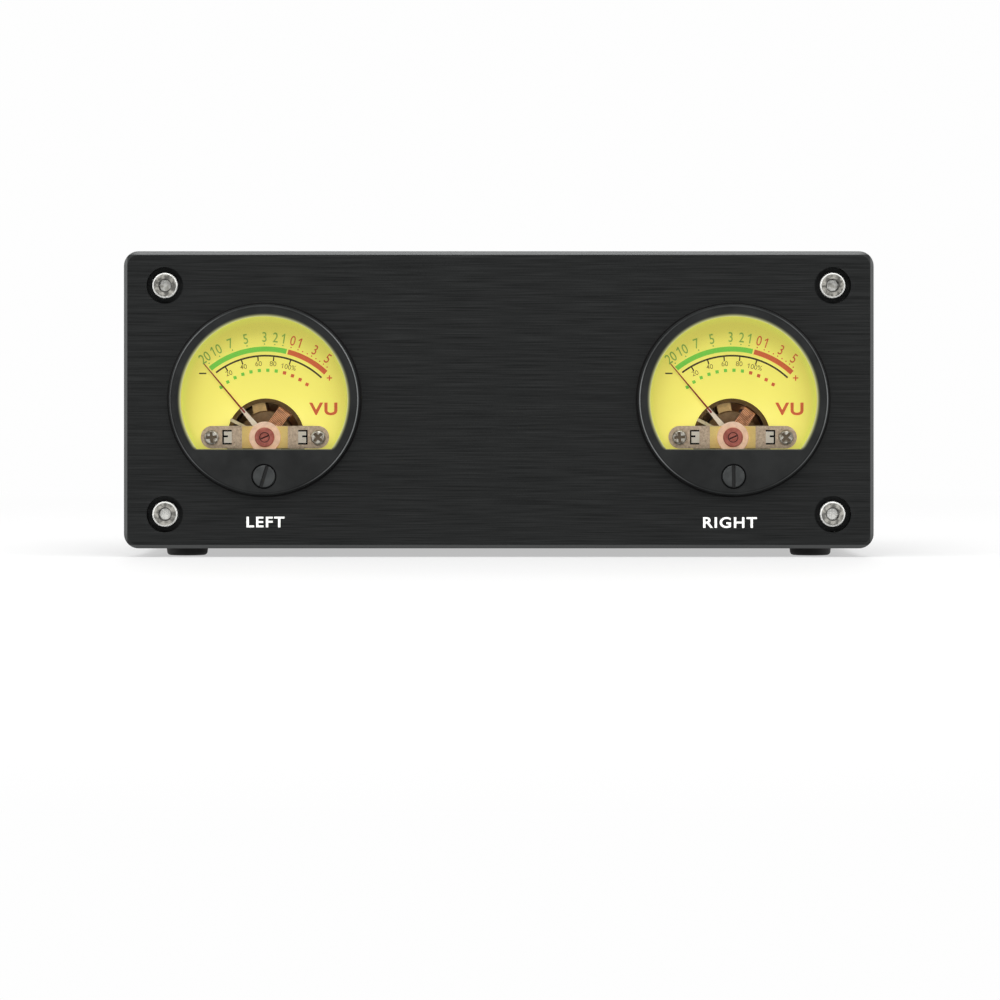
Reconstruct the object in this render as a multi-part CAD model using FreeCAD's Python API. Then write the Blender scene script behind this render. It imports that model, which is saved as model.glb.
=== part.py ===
import FreeCAD, Part
import math
import os

from FreeCAD import Vector

# Twin analog VU meter in an extruded aluminium case, with its 5 V power lead.
# Millimetres. +X right and +Z up as seen from the front, +Y towards the back.

# Front panel
PANEL_W = 164.0
PANEL_H = 65.0
PANEL_T = 5.0
PANEL_CORNER_R = 3.2
PANEL_EDGE = 0.85
SCREW_FROM_END = 9.0
SCREW_FROM_TOP = 7.5

# Case sleeve and rear panel
CASE_INSET = 1.3
CASE_D = 72.0
CASE_WALL = 2.0
CASE_CORNER_R = 3.0
CHANNEL_R = 3.4
REAR_T = 2.0

# Socket screws that hold both panels
SCREW_SHANK_R = 1.45
SCREW_BORE_R = 1.5
SCREW_LENGTH = 9.8
SCREW_HEAD_R = 2.75
SCREW_HEAD_H = 3.0
SCREW_HEX_AF = 2.5
SCREW_HEX_DEPTH = 1.6
SCREW_RECESS_R = 4.0
SCREW_RECESS_DEPTH = 3.2
SCREW_CLEAR_R = 1.7
SCREW_HEAD_EDGE = 0.25
BUTTON_HEAD_H = 1.7
BUTTON_ROUND = 1.2
BUTTON_HEX_AF = 2.0
BUTTON_HEX_DEPTH = 1.0

# Rubber feet
FOOT_R = 4.8
FOOT_TAPER = 0.4
FOOT_H = 3.2
FOOT_ROUND = 0.8
FOOT_FROM_SIDE = 11.6
FOOT_FROM_END = 9.0

# Meter, about its own axis: y = 0 is the panel's front face
METER_FROM_END = 30.8
BEZEL_R = 20.9
BEZEL_OVERHANG = 1.2
BEZEL_PROUD = 2.4
BEZEL_ROUND = 0.7
LIP_T = 0.8
WINDOW_LAP = 0.6
WINDOW_EDGE = 0.25
LENS_T = 1.2
SEAT_GAP = 0.1
SLEEVE_WALL = 0.8
SLEEVE_LENGTH = 11.0
HOLE_GAP = 0.2
RETAINER_T = 4.0
RETAINER_W = 3.0
RETAINER_GAP = 0.05

# Zero adjuster in the bezel's skirt, with its eccentric pin, and how far above it
# the window, the lens and the scale plate are cut off flat
ADJUST_FROM_SLEEVE = 3.0
WINDOW_OVER_ADJUST = 5.95
LENS_OVER_ADJUST = 5.0
PLATE_OVER_ADJUST = 2.2
ADJUST_HEAD_R = 2.45
ADJUST_HEAD_EDGE = 0.2
ADJUST_RECESS_R = 2.75
ADJUST_RECESS_DEPTH = 1.1
ADJUST_SHAFT_R = 1.5
ADJUST_SLOT_W = 0.8
ADJUST_SLOT_DEPTH = 0.6
ADJUST_BOSS_R = 3.6
ADJUST_BOSS_END = 0.6
ADJUST_COLLAR_R = 2.0
ADJUST_COLLAR_T = 0.4
ADJUST_SLOT_TILT = {"left": -17.0, "right": 0.0}
PIN_OFFSET = 1.0
PIN_R = 0.5
PIN_END = 3.4
RUN_GAP = 0.08
END_GAP = 0.1

# Bridge, bearing and hub, below the bezel's axis
BRIDGE_FRONT = 1.6
BRIDGE_T = 0.8
BRIDGE_W = 28.1
BRIDGE_H = 5.0
BRIDGE_FOOT_R = 2.2
BRIDGE_SCREW_X = 11.65
BRIDGE_SCREW_HEAD_R = 1.6
BRIDGE_SCREW_HEAD_H = 0.9
BRIDGE_SCREW_ROUND = 0.5
CROSS_W = 0.66
CROSS_REACH = 1.2
CROSS_DEPTH = 0.7
CROSS_TURNS = {-1: -5.0, 1: 45.0}
BRIDGE_SCREW_R = 0.95
BRIDGE_SCREW_END = 9.0
BRIDGE_SLOT_X = 8.3
BRIDGE_SLOT_W = 2.1
BRIDGE_SLOT_H = 3.2
TONGUE_SINK = 0.3
TONGUE_GAP = 0.35
TONGUE_NOTCH = 0.4
INSULATOR_W = 10.0
INSULATOR_H = 4.8
INSULATOR_T = 0.3
HUB_RING_R = 3.45
HUB_RING_T = 0.7
HUB_RING_ROUND = 0.25
CAP_R = 2.15
CAP_H = 1.5
CAP_ROUND = 0.25
CAP_SCREW_R = 1.15
CAP_GROOVE_W = 0.2
CAP_GROOVE_DEPTH = 0.3
CAP_SLOT_L = 1.84
CAP_SLOT_W = 0.32
CAP_SLOT_DEPTH = 0.45
CAP_SLOT_TILT = -25.0
NECK_R = 1.5
NECK_END = 3.0
JEWEL_MOUTH_R = 0.5
JEWEL_TIP_R = 0.1
JEWEL_DEPTH = 0.65

# Zero arm and hairspring
ARM_FRONT = 2.65
ARM_T = 0.3
ARM_RING_R = 2.9
ARM_TAIL_W = 1.7
FORK_W = 3.0
FORK_SLOT_W = 1.3
FORK_REACH = 1.1
FORK_ROOT = 1.6
FORK_SLOT_ROOT = 0.8
TAB_ANGLE = 153.0
TAB_REACH = 8.6
TAB_W = 0.7
SPRING_INNER_R = 1.2
SPRING_PITCH = 0.62
SPRING_HALF_TURNS = 7
SPRING_STRIP = 0.14
SPRING_FRONT = 3.1
SPRING_H = 0.35
POST_W = 0.7

# Pointer
POINTER_FRONT = 3.7
POINTER_T = 0.3
POINTER_HUB_R = 1.5
REST_ANGLE = 40.0
POINTER_ARM_REACH = 8.2
POINTER_ARM_ROOT_W = 1.5
POINTER_ARM_TIP_W = 0.7
NEEDLE_TOP = 12.8
NEEDLE_ROOT_W = 0.42
NEEDLE_TIP_W = 0.22
NEEDLE_T = 0.15
NEEDLE_OVERLAP = 1.2
TAIL_REACH = 4.4
TAIL_W = 0.8
SIDE_REACH = 3.1
SIDE_WEIGHT_R = 0.55
WEIGHT_GAP = 0.4

# Scale plate
PLATE_FRONT = 4.7
PLATE_T = 0.5
PLATE_GAP = 0.2
ARCH_R = 8.5

# Moving coil, magnet core, yoke and rear frame, round the pivot
CORE_R = 5.8
CORE_FRONT = 6.9
CORE_LENGTH = 10.0
CORE_EDGE = 0.3
COIL_REACH = 7.2
COIL_WIND = 0.7
COIL_W = 2.9
COIL_ROUND = 0.5
COIL_FRONT = 5.5
COIL_BACK = 18.3
COIL_ANGLE = 55.0
FORMER_T = 0.25
FORMER_ROUND = 0.1
STUB_R = 0.8
STUB_PROUD = 0.1
STUB_FLANGE_R = 1.3
STUB_FLANGE_T = 0.25
PIVOT_R = 0.35
PIVOT_CONE = 0.45
PIVOT_TIP_R = 0.05
PIVOT_TO_JEWEL = 0.2
YOKE_TO_COIL = 0.4
YOKE_WALL = 1.5
YOKE_TO_HOUSING = 0.3
YOKE_FRONT = 6.2
FRAME_FRONT = 19.2
FRAME_T = 1.4
FRAME_POST_W = 3.0
FRAME_POST_ANGLE = 103.5
FRAME_BOSS_R = 3.0

# Meter housing, terminals and lamp
HOUSING_WALL = 2.1
HOUSING_BACK = 27.0
HOUSING_BACK_T = 1.6
HOUSING_ROUND = 1.0
PILLAR_R = 2.4
TERMINAL_W = 2.4
TERMINAL_T = 0.6
TERMINAL_X = 6.0
TERMINAL_Z = (3.0, 9.0)
TERMINAL_OUT = 7.0
TERMINAL_IN = 1.0
LAMP_W = 14.0
LAMP_H = 6.0
LAMP_FROM_HOUSING = 4.8
LAMP_FRONT = 8.0
LAMP_T = 1.0
LAMP_POST_X = 5.0
LAMP_POST_R = 1.2
LED_R = 1.3
LED_H = 1.4
LED_PITCH = 4.6

# Driver board
BOARD_T = 1.6
BOARD_TOP = -17.0
BOARD_FRONT = 37.0
BOARD_GAP = 0.2
RIB_T = 1.2
RIB_W = 2.0
WIRE_R = 0.6
WIRE_BEND_R = 3.0
CONNECTOR_Y = (41.0, 46.0)
CONNECTOR_W = 3.6
CONNECTOR_H = 5.0
CONNECTOR_MARGIN = 2.2
CHIP_X = 21.5
CHIP_W = 9.6
CHIP_D = 6.4
CHIP_H = 3.4
CHIP_TO_JACK = 14.4
CAPACITOR_R = 3.15
CAPACITOR_H = 11.0
CAPACITOR_PITCH = 9.0
CAPACITOR_TO_JACK = 0.8
RESISTOR_R = 1.2
RESISTOR_L = 6.0
RESISTOR_PITCH = 3.2
RESISTOR_COUNT = 4
RESISTOR_TO_CHIP = 7.2

# Input jacks and power jack on the rear panel, at the board's back edge
JACK_X = {"left": -16.0, "right": 4.0}
JACK_RISE = 7.0
JACK_BODY_W = 10.0
JACK_BODY_H = 12.5
JACK_BODY_D = 10.0
JACK_SHELL_R = 4.15
JACK_SHELL_IN_R = 3.6
JACK_SHELL_L = 8.7
JACK_FLANGE_R = 5.6
JACK_FLANGE_T = 0.8
JACK_NECK_R = 4.0
JACK_CONTACT_R = 1.6
JACK_CONTACT_DEPTH = 8.0
JACK_INSERT_BACK = 0.7
POWER_FROM_SIDE = 35.7
POWER_RISE = 6.5
POWER_BODY_W = 9.4
POWER_BODY_H = 11.0
POWER_BODY_D = 13.0
POWER_NOSE_R = 4.4
POWER_BORE_R = 3.15
POWER_BORE_DEPTH = 11.0
POWER_PIN_R = 1.0
POWER_PIN_SHORT = 1.5
POWER_PIN_ROOT = 1.5
PANEL_GAP = 0.2

# Lead: cord, power plug in the jack, tied hank and USB plug
CORD_R = 1.75
CORD_BEND_SHARE = 0.45
BARREL_R = 2.75
BARREL_BORE_R = 1.15
BARREL_LENGTH = 10.5
BARREL_ROOT = 0.5
GRIP_COLLAR_R = 4.7
GRIP_COLLAR_L = 4.2
GRIP_EDGE = 0.4
GRIP_BODY_R = 4.4
GRIP_BODY_L = 10.0
GRIP_TAPER_L = 14.4
GRIP_TAPER_FRONT_R = 3.7
GRIP_TAPER_BACK_R = 2.5
GRIP_GROOVES = 7
GRIP_GROOVE_W = 0.9
GRIP_GROOVE_DEPTH = 0.8
GRIP_WEB_W = 1.6
USB_SHELL_W = 12.0
USB_SHELL_H = 4.5
USB_SHELL_L = 12.9
USB_SHELL_WALL = 0.3
USB_SHELL_ROOT = 1.0
USB_TONGUE_T = 1.9
USB_TONGUE_SHORT = 0.6
USB_HOLE = 2.2
USB_HOLE_X = 2.3
USB_HOLE_FROM_GRIP = 4.2
USB_GRIP_W = 16.5
USB_GRIP_H = 8.0
USB_GRIP_L = 16.0
USB_GRIP_ROUND = 1.6
USB_TAPER_L = 5.0
USB_SHOULDER_W = 1.2
USB_SHOULDER_H = 0.6
USB_NECK_W = 6.6
USB_RELIEF_R = 2.7
USB_RELIEF_L = 4.0
USB_RIBS = 7
USB_RIB_PITCH = 1.6
USB_RIB_DEPTH = 0.4
USB_RIBS_FROM_SHELL = 2.4
USB_RIBS_FROM_FACE = 1.0

# The hank lies behind the case: loops about its tie, wide at the ends and drawn in at the tie
HANK_X = -26.0
HANK_Y = 78.0
HANK_REACH = 31.5
HANK_HALF_W = 20.2
HANK_LOOPS = 4
HANK_STEP = 5.1
HANK_DRAWN_IN = 11.8
HANK_LAYER = 3.95
HANK_TAIL = 12.0
HANK_GAP_STEP = 1.5
HANK_NEIGHBOURS = 10
TIE_T = 0.7
TIE_W = 2.9
TIE_GAP = 0.1
TIE_TWIST_R = 1.1
TIE_TWIST_L = 4.2
TIE_TAIL_W = 1.8
TIE_TAIL_T = 0.9
TIE_TAILS = ((22.0, 156.0), (9.5, 32.0))

SIDES = {"left": -1, "right": 1}

# Places that follow from the sizes above
CASE_W = PANEL_W - 2 * CASE_INSET
CASE_H = PANEL_H - 2 * CASE_INSET
CENTRE_Z = FOOT_H + CASE_H / 2
PANEL_SCREW_X = PANEL_W / 2 - SCREW_FROM_END
PANEL_SCREW_Z = PANEL_H / 2 - SCREW_FROM_TOP
FOOT_X = CASE_W / 2 - FOOT_FROM_SIDE
METER_X = PANEL_W / 2 - METER_FROM_END
POWER_X = CASE_W / 2 - POWER_FROM_SIDE
SLEEVE_R = BEZEL_R - BEZEL_OVERHANG
SLEEVE_IN_R = SLEEVE_R - SLEEVE_WALL
LENS_R = SLEEVE_IN_R - SEAT_GAP
WINDOW_R = LENS_R - WINDOW_LAP
PLATE_R = LENS_R - PLATE_GAP
HOUSING_IN_R = SLEEVE_R - HOUSING_WALL
YOKE_IN_R = COIL_REACH + YOKE_TO_COIL
YOKE_OUT_R = YOKE_IN_R + YOKE_WALL
PIVOT_DROP = HOUSING_IN_R - YOKE_TO_HOUSING - YOKE_OUT_R
NEEDLE_REACH = PIVOT_DROP + NEEDLE_TOP
ADJUST_DROP = SLEEVE_R - ADJUST_FROM_SLEEVE
WINDOW_CHORD = ADJUST_DROP - WINDOW_OVER_ADJUST
LENS_CHORD = ADJUST_DROP - LENS_OVER_ADJUST
PLATE_CHORD = ADJUST_DROP - PLATE_OVER_ADJUST
LAMP_Z = HOUSING_IN_R - LAMP_FROM_HOUSING
REAR_FACE = PANEL_T + CASE_D
BACK_FACE = REAR_FACE + REAR_T
JACK_END = BACK_FACE + JACK_FLANGE_T + JACK_SHELL_L
FACE_Y = (BEZEL_PROUD - JACK_END) / 2
SCREW_SPOTS = [(i * PANEL_SCREW_X, k * PANEL_SCREW_Z) for i in (-1, 1) for k in (-1, 1)]
JACK_FACE_Y = BACK_FACE + FACE_Y
JACK_AXIS_Z = CENTRE_Z + BOARD_TOP + POWER_RISE
GRIP_L = GRIP_COLLAR_L + GRIP_BODY_L + GRIP_TAPER_L
HANK_Z = CORD_R + TIE_T + TIE_GAP
USB_AXIS_Z = USB_GRIP_H / 2
USB_RELIEF_X = HANK_X + HANK_REACH + HANK_TAIL
USB_GRIP_X = USB_RELIEF_X + USB_RELIEF_L + USB_TAPER_L
USB_TIP = (USB_GRIP_X + USB_GRIP_L + USB_SHELL_L, HANK_Y - HANK_HALF_W - HANK_STEP / 2, USB_AXIS_Z)
USB_AXIS = (1, 0, 0)

# The free stretch of cord, from the power plug to the hank, chosen point by point
CORD_ROUTE = [
    (POWER_X, JACK_FACE_Y + GRIP_L, JACK_AXIS_Z),
    (POWER_X, 77.0, 23.9),
    (43.0, 89.0, 16.5),
    (34.0, 95.5, 6.0),
    (20.5, HANK_Y + HANK_HALF_W, HANK_Z),
    (HANK_X + HANK_REACH, HANK_Y + HANK_HALF_W, HANK_Z),
]


def tube_y(r, y0, y1, x=0.0, z=0.0, hole=0.0):
    """A cylinder along +Y from y0 to y1, with an optional through hole."""
    solid = Part.makeCylinder(r, y1 - y0, Vector(x, y0, z), Vector(0, 1, 0))
    if hole:
        solid = solid.cut(Part.makeCylinder(hole, y1 - y0 + 2, Vector(x, y0 - 1, z), Vector(0, 1, 0)))
    return solid


def cone_y(r0, r1, y0, y1, x=0.0, z=0.0):
    """A cone along +Y, of radius r0 at y0 and r1 at y1."""
    return Part.makeCone(r0, r1, y1 - y0, Vector(x, y0, z), Vector(0, 1, 0))


def box(x0, x1, y0, y1, z0, z1):
    """A box between two corners."""
    return Part.makeBox(x1 - x0, y1 - y0, z1 - z0, Vector(x0, y0, z0))


def plate_y(points, y0, y1):
    """A flat plate from y0 to y1 with straight sides through (x, z) points."""
    corners = [Vector(x, y0, z) for x, z in points]
    wire = Part.makePolygon(corners + corners[:1])
    return Part.Face(wire).extrude(Vector(0, y1 - y0, 0))


def rounded_plate(w, h, r, y0, y1):
    """A rectangular plate centred on the Y axis, with round corners."""
    solid = box(-w / 2, w / 2, y0, y1, -h / 2, h / 2)
    corners = [e for e in solid.Edges if abs(e.tangentAt(e.FirstParameter).y) > 0.9]
    return solid.makeFillet(r, corners)


def edges_at_y(solid, y, reach=None):
    """The edges of a solid that lie wholly at y, within reach of the Y axis."""
    found = []
    for edge in solid.Edges:
        b = edge.BoundBox
        far = max(abs(b.XMin), abs(b.XMax), abs(b.ZMin), abs(b.ZMax))
        if abs(b.YMin - y) < 1e-5 and abs(b.YMax - y) < 1e-5 and (reach is None or far > reach):
            found.append(edge)
    return found


def segment_disc(r, chord, y0, y1):
    """A disc about the Y axis, cut off flat at z = -chord."""
    return tube_y(r, y0, y1).cut(box(-2 * r, 2 * r, y0 - 1, y1 + 1, -2 * r, -chord))


def turned(solid, degrees):
    """Turned about the pivot's axis: 0 points along +X and 90 along +Z."""
    copy = solid.copy()
    copy.rotate(Vector(0, 0, -PIVOT_DROP), Vector(0, 1, 0), -degrees)
    return copy


def bar(r0, r1, w0, w1, y0, y1, degrees):
    """A tapered flat bar that runs from r0 to r1 away from the pivot."""
    ends = [(r0, w0 / 2), (r1, w1 / 2), (r1, -w1 / 2), (r0, -w0 / 2)]
    return turned(plate_y([(x, z - PIVOT_DROP) for x, z in ends], y0, y1), degrees)


def hexagon(across_flats, y0, y1, x, z):
    """A hexagonal prism along Y."""
    r = across_flats / math.sqrt(3)
    corners = [math.radians(60 * i + 30) for i in range(6)]
    return plate_y([(x + r * math.cos(a), z + r * math.sin(a)) for a in corners], y0, y1)


def start_of(edge):
    """The point where an edge begins."""
    return edge.valueAt(edge.FirstParameter)


def end_of(edge):
    """The point where an edge ends."""
    return edge.valueAt(edge.LastParameter)


def fuse(first, *others):
    """One solid out of several that touch or overlap."""
    return first.multiFuse(list(others)).removeSplitter()


def front_panel():
    """Brushed panel with an edge chamfer, two meter holes and four counterbores."""
    plate = rounded_plate(PANEL_W, PANEL_H, PANEL_CORNER_R, 0, PANEL_T)
    plate = plate.makeChamfer(PANEL_EDGE, edges_at_y(plate, 0))
    cuts = [tube_y(SLEEVE_R + HOLE_GAP, -1, PANEL_T + 1, s * METER_X) for s in SIDES.values()]
    for x, z in SCREW_SPOTS:
        cuts.append(tube_y(SCREW_CLEAR_R, -1, PANEL_T + 1, x, z))
        cuts.append(tube_y(SCREW_RECESS_R, -1, SCREW_RECESS_DEPTH, x, z))
    return plate.cut(cuts)


def case_sleeve():
    """Extruded sleeve with a screw channel in each corner and a groove for the board."""
    inside = rounded_plate(
        CASE_W - 2 * CASE_WALL,
        CASE_H - 2 * CASE_WALL,
        CASE_CORNER_R - CASE_WALL,
        PANEL_T - 1,
        REAR_FACE + 1,
    )
    sleeve = rounded_plate(CASE_W, CASE_H, CASE_CORNER_R, PANEL_T, REAR_FACE).cut(inside)
    wall_x = CASE_W / 2 - CASE_WALL / 2
    wall_z = CASE_H / 2 - CASE_WALL / 2
    parts = []
    for x, z in SCREW_SPOTS:
        parts.append(tube_y(CHANNEL_R, PANEL_T, REAR_FACE, x, z))
        to_side = sorted((x, math.copysign(wall_x, x)))
        to_floor = sorted((z, math.copysign(wall_z, z)))
        parts.append(box(*to_side, PANEL_T, REAR_FACE, z - CASE_WALL / 2, z + CASE_WALL / 2))
        parts.append(box(x - CASE_WALL / 2, x + CASE_WALL / 2, PANEL_T, REAR_FACE, *to_floor))
    rib_in = CASE_W / 2 - CASE_WALL - RIB_W
    for side in SIDES.values():
        ends = sorted((side * rib_in, side * wall_x))
        over = BOARD_TOP + BOARD_GAP / 2
        under = BOARD_TOP - BOARD_T - BOARD_GAP / 2
        parts.append(box(*ends, PANEL_T, REAR_FACE, over, over + RIB_T))
        parts.append(box(*ends, PANEL_T, REAR_FACE, under - RIB_T, under))
    bores = [tube_y(SCREW_BORE_R, PANEL_T - 1, REAR_FACE + 1, x, z) for x, z in SCREW_SPOTS]
    return fuse(sleeve, *parts).cut(bores)


def rear_panel():
    """Flat back plate with holes for the screws, the input jacks and the power jack."""
    plate = rounded_plate(CASE_W, CASE_H, CASE_CORNER_R, REAR_FACE, BACK_FACE)
    cuts = [tube_y(SCREW_CLEAR_R, REAR_FACE - 1, BACK_FACE + 1, x, z) for x, z in SCREW_SPOTS]
    jack_z = BOARD_TOP + JACK_RISE
    power_z = BOARD_TOP + POWER_RISE
    for x in JACK_X.values():
        cuts.append(tube_y(JACK_NECK_R + PANEL_GAP, REAR_FACE - 1, BACK_FACE + 1, x, jack_z))
    cuts.append(tube_y(POWER_NOSE_R + PANEL_GAP, REAR_FACE - 1, BACK_FACE + 1, POWER_X, power_z))
    return plate.cut(cuts)


def front_panel_screws():
    """Four socket head screws, sunk in the front panel and driven into the channels."""
    head_top = SCREW_RECESS_DEPTH - SCREW_HEAD_H
    solids = []
    for x, z in SCREW_SPOTS:
        head = tube_y(SCREW_HEAD_R, head_top, SCREW_RECESS_DEPTH, x, z)
        head = head.makeChamfer(SCREW_HEAD_EDGE, edges_at_y(head, head_top))
        shank = tube_y(SCREW_SHANK_R, SCREW_RECESS_DEPTH, SCREW_RECESS_DEPTH + SCREW_LENGTH, x, z)
        socket = hexagon(SCREW_HEX_AF, head_top - 1, head_top + SCREW_HEX_DEPTH, x, z)
        solids.append(fuse(head, shank).cut(socket))
    return Part.makeCompound(solids)


def rear_panel_screws():
    """Four button head screws through the rear panel into the channels."""
    head_top = BACK_FACE + BUTTON_HEAD_H
    solids = []
    for x, z in SCREW_SPOTS:
        head = tube_y(SCREW_HEAD_R, BACK_FACE, head_top, x, z)
        head = head.makeFillet(BUTTON_ROUND, edges_at_y(head, head_top))
        shank = tube_y(SCREW_SHANK_R, BACK_FACE - SCREW_LENGTH, BACK_FACE, x, z)
        socket = hexagon(BUTTON_HEX_AF, head_top - BUTTON_HEX_DEPTH, head_top + 1, x, z)
        solids.append(fuse(head, shank).cut(socket))
    return Part.makeCompound(solids)


def rubber_feet():
    """Four tapered stick-on feet under the sleeve."""
    top = -CASE_H / 2
    solids = []
    for x in (-FOOT_X, FOOT_X):
        for y in (PANEL_T + FOOT_FROM_END, REAR_FACE - FOOT_FROM_END):
            low = Vector(x, y, top - FOOT_H)
            foot = Part.makeCone(FOOT_R - FOOT_TAPER, FOOT_R, FOOT_H, low, Vector(0, 0, 1))
            rim = [e for e in foot.Edges if e.BoundBox.ZMax < top - FOOT_H + 1e-5]
            solids.append(foot.makeFillet(FOOT_ROUND, rim))
    return Part.makeCompound(solids)


def bezel():
    """Round front ring with a D-shaped window, a skirt below it and a sleeve behind."""
    flange = tube_y(BEZEL_R, -BEZEL_PROUD, 0)
    flange = flange.makeFillet(BEZEL_ROUND, edges_at_y(flange, -BEZEL_PROUD))
    lens_front = LIP_T - BEZEL_PROUD
    lens_back = lens_front + LENS_T
    pocket = segment_disc(SLEEVE_IN_R, LENS_CHORD + SEAT_GAP, lens_front, lens_back)
    window = segment_disc(WINDOW_R, WINDOW_CHORD, -BEZEL_PROUD - 1, lens_front + SEAT_GAP)
    ring = flange.cut([pocket, window, tube_y(SLEEVE_IN_R, lens_back, 1)])
    rim = edges_at_y(ring, -BEZEL_PROUD, WINDOW_CHORD / 2)
    inner_rim = [e for e in rim if e.BoundBox.XMax < (WINDOW_R + SLEEVE_R) / 2]
    ring = ring.makeChamfer(WINDOW_EDGE, inner_rim)
    sleeve = tube_y(SLEEVE_R, lens_back, SLEEVE_LENGTH, hole=SLEEVE_IN_R)
    z = -ADJUST_DROP
    boss = tube_y(ADJUST_BOSS_R, lens_back, ADJUST_BOSS_END, 0, z)
    boss = boss.common(tube_y(SLEEVE_IN_R + SLEEVE_WALL / 2, lens_back, ADJUST_BOSS_END))
    seat = ADJUST_RECESS_DEPTH - BEZEL_PROUD
    recess = tube_y(ADJUST_RECESS_R, -BEZEL_PROUD - 1, seat, 0, z)
    bore = tube_y(ADJUST_SHAFT_R + RUN_GAP, -BEZEL_PROUD, ADJUST_BOSS_END + 1, 0, z)
    return fuse(ring, sleeve, boss).cut([recess, bore])


def lens():
    """Clear window behind the bezel's lip."""
    front = LIP_T - BEZEL_PROUD
    return segment_disc(LENS_R, LENS_CHORD, front, front + LENS_T)


def retaining_rings():
    """Rings pushed over the sleeves behind the panel, one for each meter."""
    out_r = SLEEVE_R + RETAINER_W
    in_r = SLEEVE_R + RETAINER_GAP
    back = PANEL_T + RETAINER_T
    rings = [tube_y(out_r, PANEL_T, back, s * METER_X, 0, in_r) for s in SIDES.values()]
    return Part.makeCompound(rings)


def zero_screw(tilt):
    """Slotted adjuster that turns in the skirt, with a collar and an eccentric pin behind."""
    z = -ADJUST_DROP
    seat = ADJUST_RECESS_DEPTH - BEZEL_PROUD
    head = tube_y(ADJUST_HEAD_R, -BEZEL_PROUD, seat - END_GAP, 0, z)
    head = head.makeChamfer(ADJUST_HEAD_EDGE, edges_at_y(head, -BEZEL_PROUD))
    slot = box(
        -ADJUST_SLOT_W / 2,
        ADJUST_SLOT_W / 2,
        -BEZEL_PROUD - 1,
        ADJUST_SLOT_DEPTH - BEZEL_PROUD,
        z - 2 * ADJUST_HEAD_R,
        z + 2 * ADJUST_HEAD_R,
    )
    slot.rotate(Vector(0, 0, z), Vector(0, 1, 0), -tilt)
    collar_front = ADJUST_BOSS_END + END_GAP
    collar_back = collar_front + ADJUST_COLLAR_T
    shaft = tube_y(ADJUST_SHAFT_R, seat - END_GAP, collar_back, 0, z)
    collar = tube_y(ADJUST_COLLAR_R, collar_front, collar_back, 0, z)
    pin = tube_y(PIN_R, collar_back, PIN_END, 0, z + PIN_OFFSET)
    return fuse(head.cut(slot), shaft, collar, pin)


def bridge_tongue(s):
    """Notched tongue that fills one slot of the bridge but for a gap on three sides."""
    inner = BRIDGE_SLOT_X - BRIDGE_SLOT_W / 2
    outer = BRIDGE_SLOT_X + BRIDGE_SLOT_W / 2 - TONGUE_GAP
    half = BRIDGE_SLOT_H / 2 - TONGUE_GAP
    front = BRIDGE_FRONT + TONGUE_SINK
    back = BRIDGE_FRONT + BRIDGE_T
    z = -PIVOT_DROP
    tongue = box(*sorted((s * inner, s * outer)), front, back, z - half, z + half)
    middle = (inner + outer) / 2
    notch = box(*sorted((s * middle, s * (outer + 1))), front - 1, back + 1, z, z + TONGUE_NOTCH)
    return tongue.cut(notch)


def bridge():
    """Flat metal bar across the front of the movement, on two feet."""
    z = -PIVOT_DROP
    back = BRIDGE_FRONT + BRIDGE_T
    straight = BRIDGE_W / 2 - BRIDGE_H / 2
    body = box(-straight, straight, BRIDGE_FRONT, back, z - BRIDGE_H / 2, z + BRIDGE_H / 2)
    ends = [tube_y(BRIDGE_H / 2, BRIDGE_FRONT, back, s * straight, z) for s in (-1, 1)]
    feet = [tube_y(BRIDGE_FOOT_R, back, PLATE_FRONT, s * BRIDGE_SCREW_X, z) for s in (-1, 1)]
    holes = [tube_y(NECK_R + RUN_GAP, BRIDGE_FRONT - 1, back + 1, 0, z)]
    for s in (-1, 1):
        holes.append(tube_y(BRIDGE_SCREW_R + RUN_GAP, 0, PLATE_FRONT + 1, s * BRIDGE_SCREW_X, z))
        slot = box(
            s * BRIDGE_SLOT_X - BRIDGE_SLOT_W / 2,
            s * BRIDGE_SLOT_X + BRIDGE_SLOT_W / 2,
            BRIDGE_FRONT - 1,
            back + 1,
            z - BRIDGE_SLOT_H / 2,
            z + BRIDGE_SLOT_H / 2,
        )
        holes.append(slot)
    return fuse(fuse(body, *ends, *feet).cut(holes), bridge_tongue(-1), bridge_tongue(1))


def bridge_screws(side):
    """Two cross-head screws through one bridge and scale plate into the housing."""
    z = -PIVOT_DROP
    top = BRIDGE_FRONT - BRIDGE_SCREW_HEAD_H
    deep = top + CROSS_DEPTH
    solids = []
    for s, turn in CROSS_TURNS.items():
        x = s * BRIDGE_SCREW_X
        head = tube_y(BRIDGE_SCREW_HEAD_R, top, BRIDGE_FRONT, x, z)
        head = head.makeFillet(BRIDGE_SCREW_ROUND, edges_at_y(head, top))
        shank = tube_y(BRIDGE_SCREW_R, BRIDGE_FRONT, BRIDGE_SCREW_END, x, z)
        screw = fuse(head, shank)
        for half_x, half_z in ((CROSS_REACH, CROSS_W / 2), (CROSS_W / 2, CROSS_REACH)):
            screw = screw.cut(box(x - half_x, x + half_x, top - 1, deep, z - half_z, z + half_z))
        screw.rotate(Vector(x, 0, z), Vector(0, 1, 0), turn)
        screw.translate(Vector(side * METER_X, 0, 0))
        solids.append(screw)
    return solids


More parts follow.
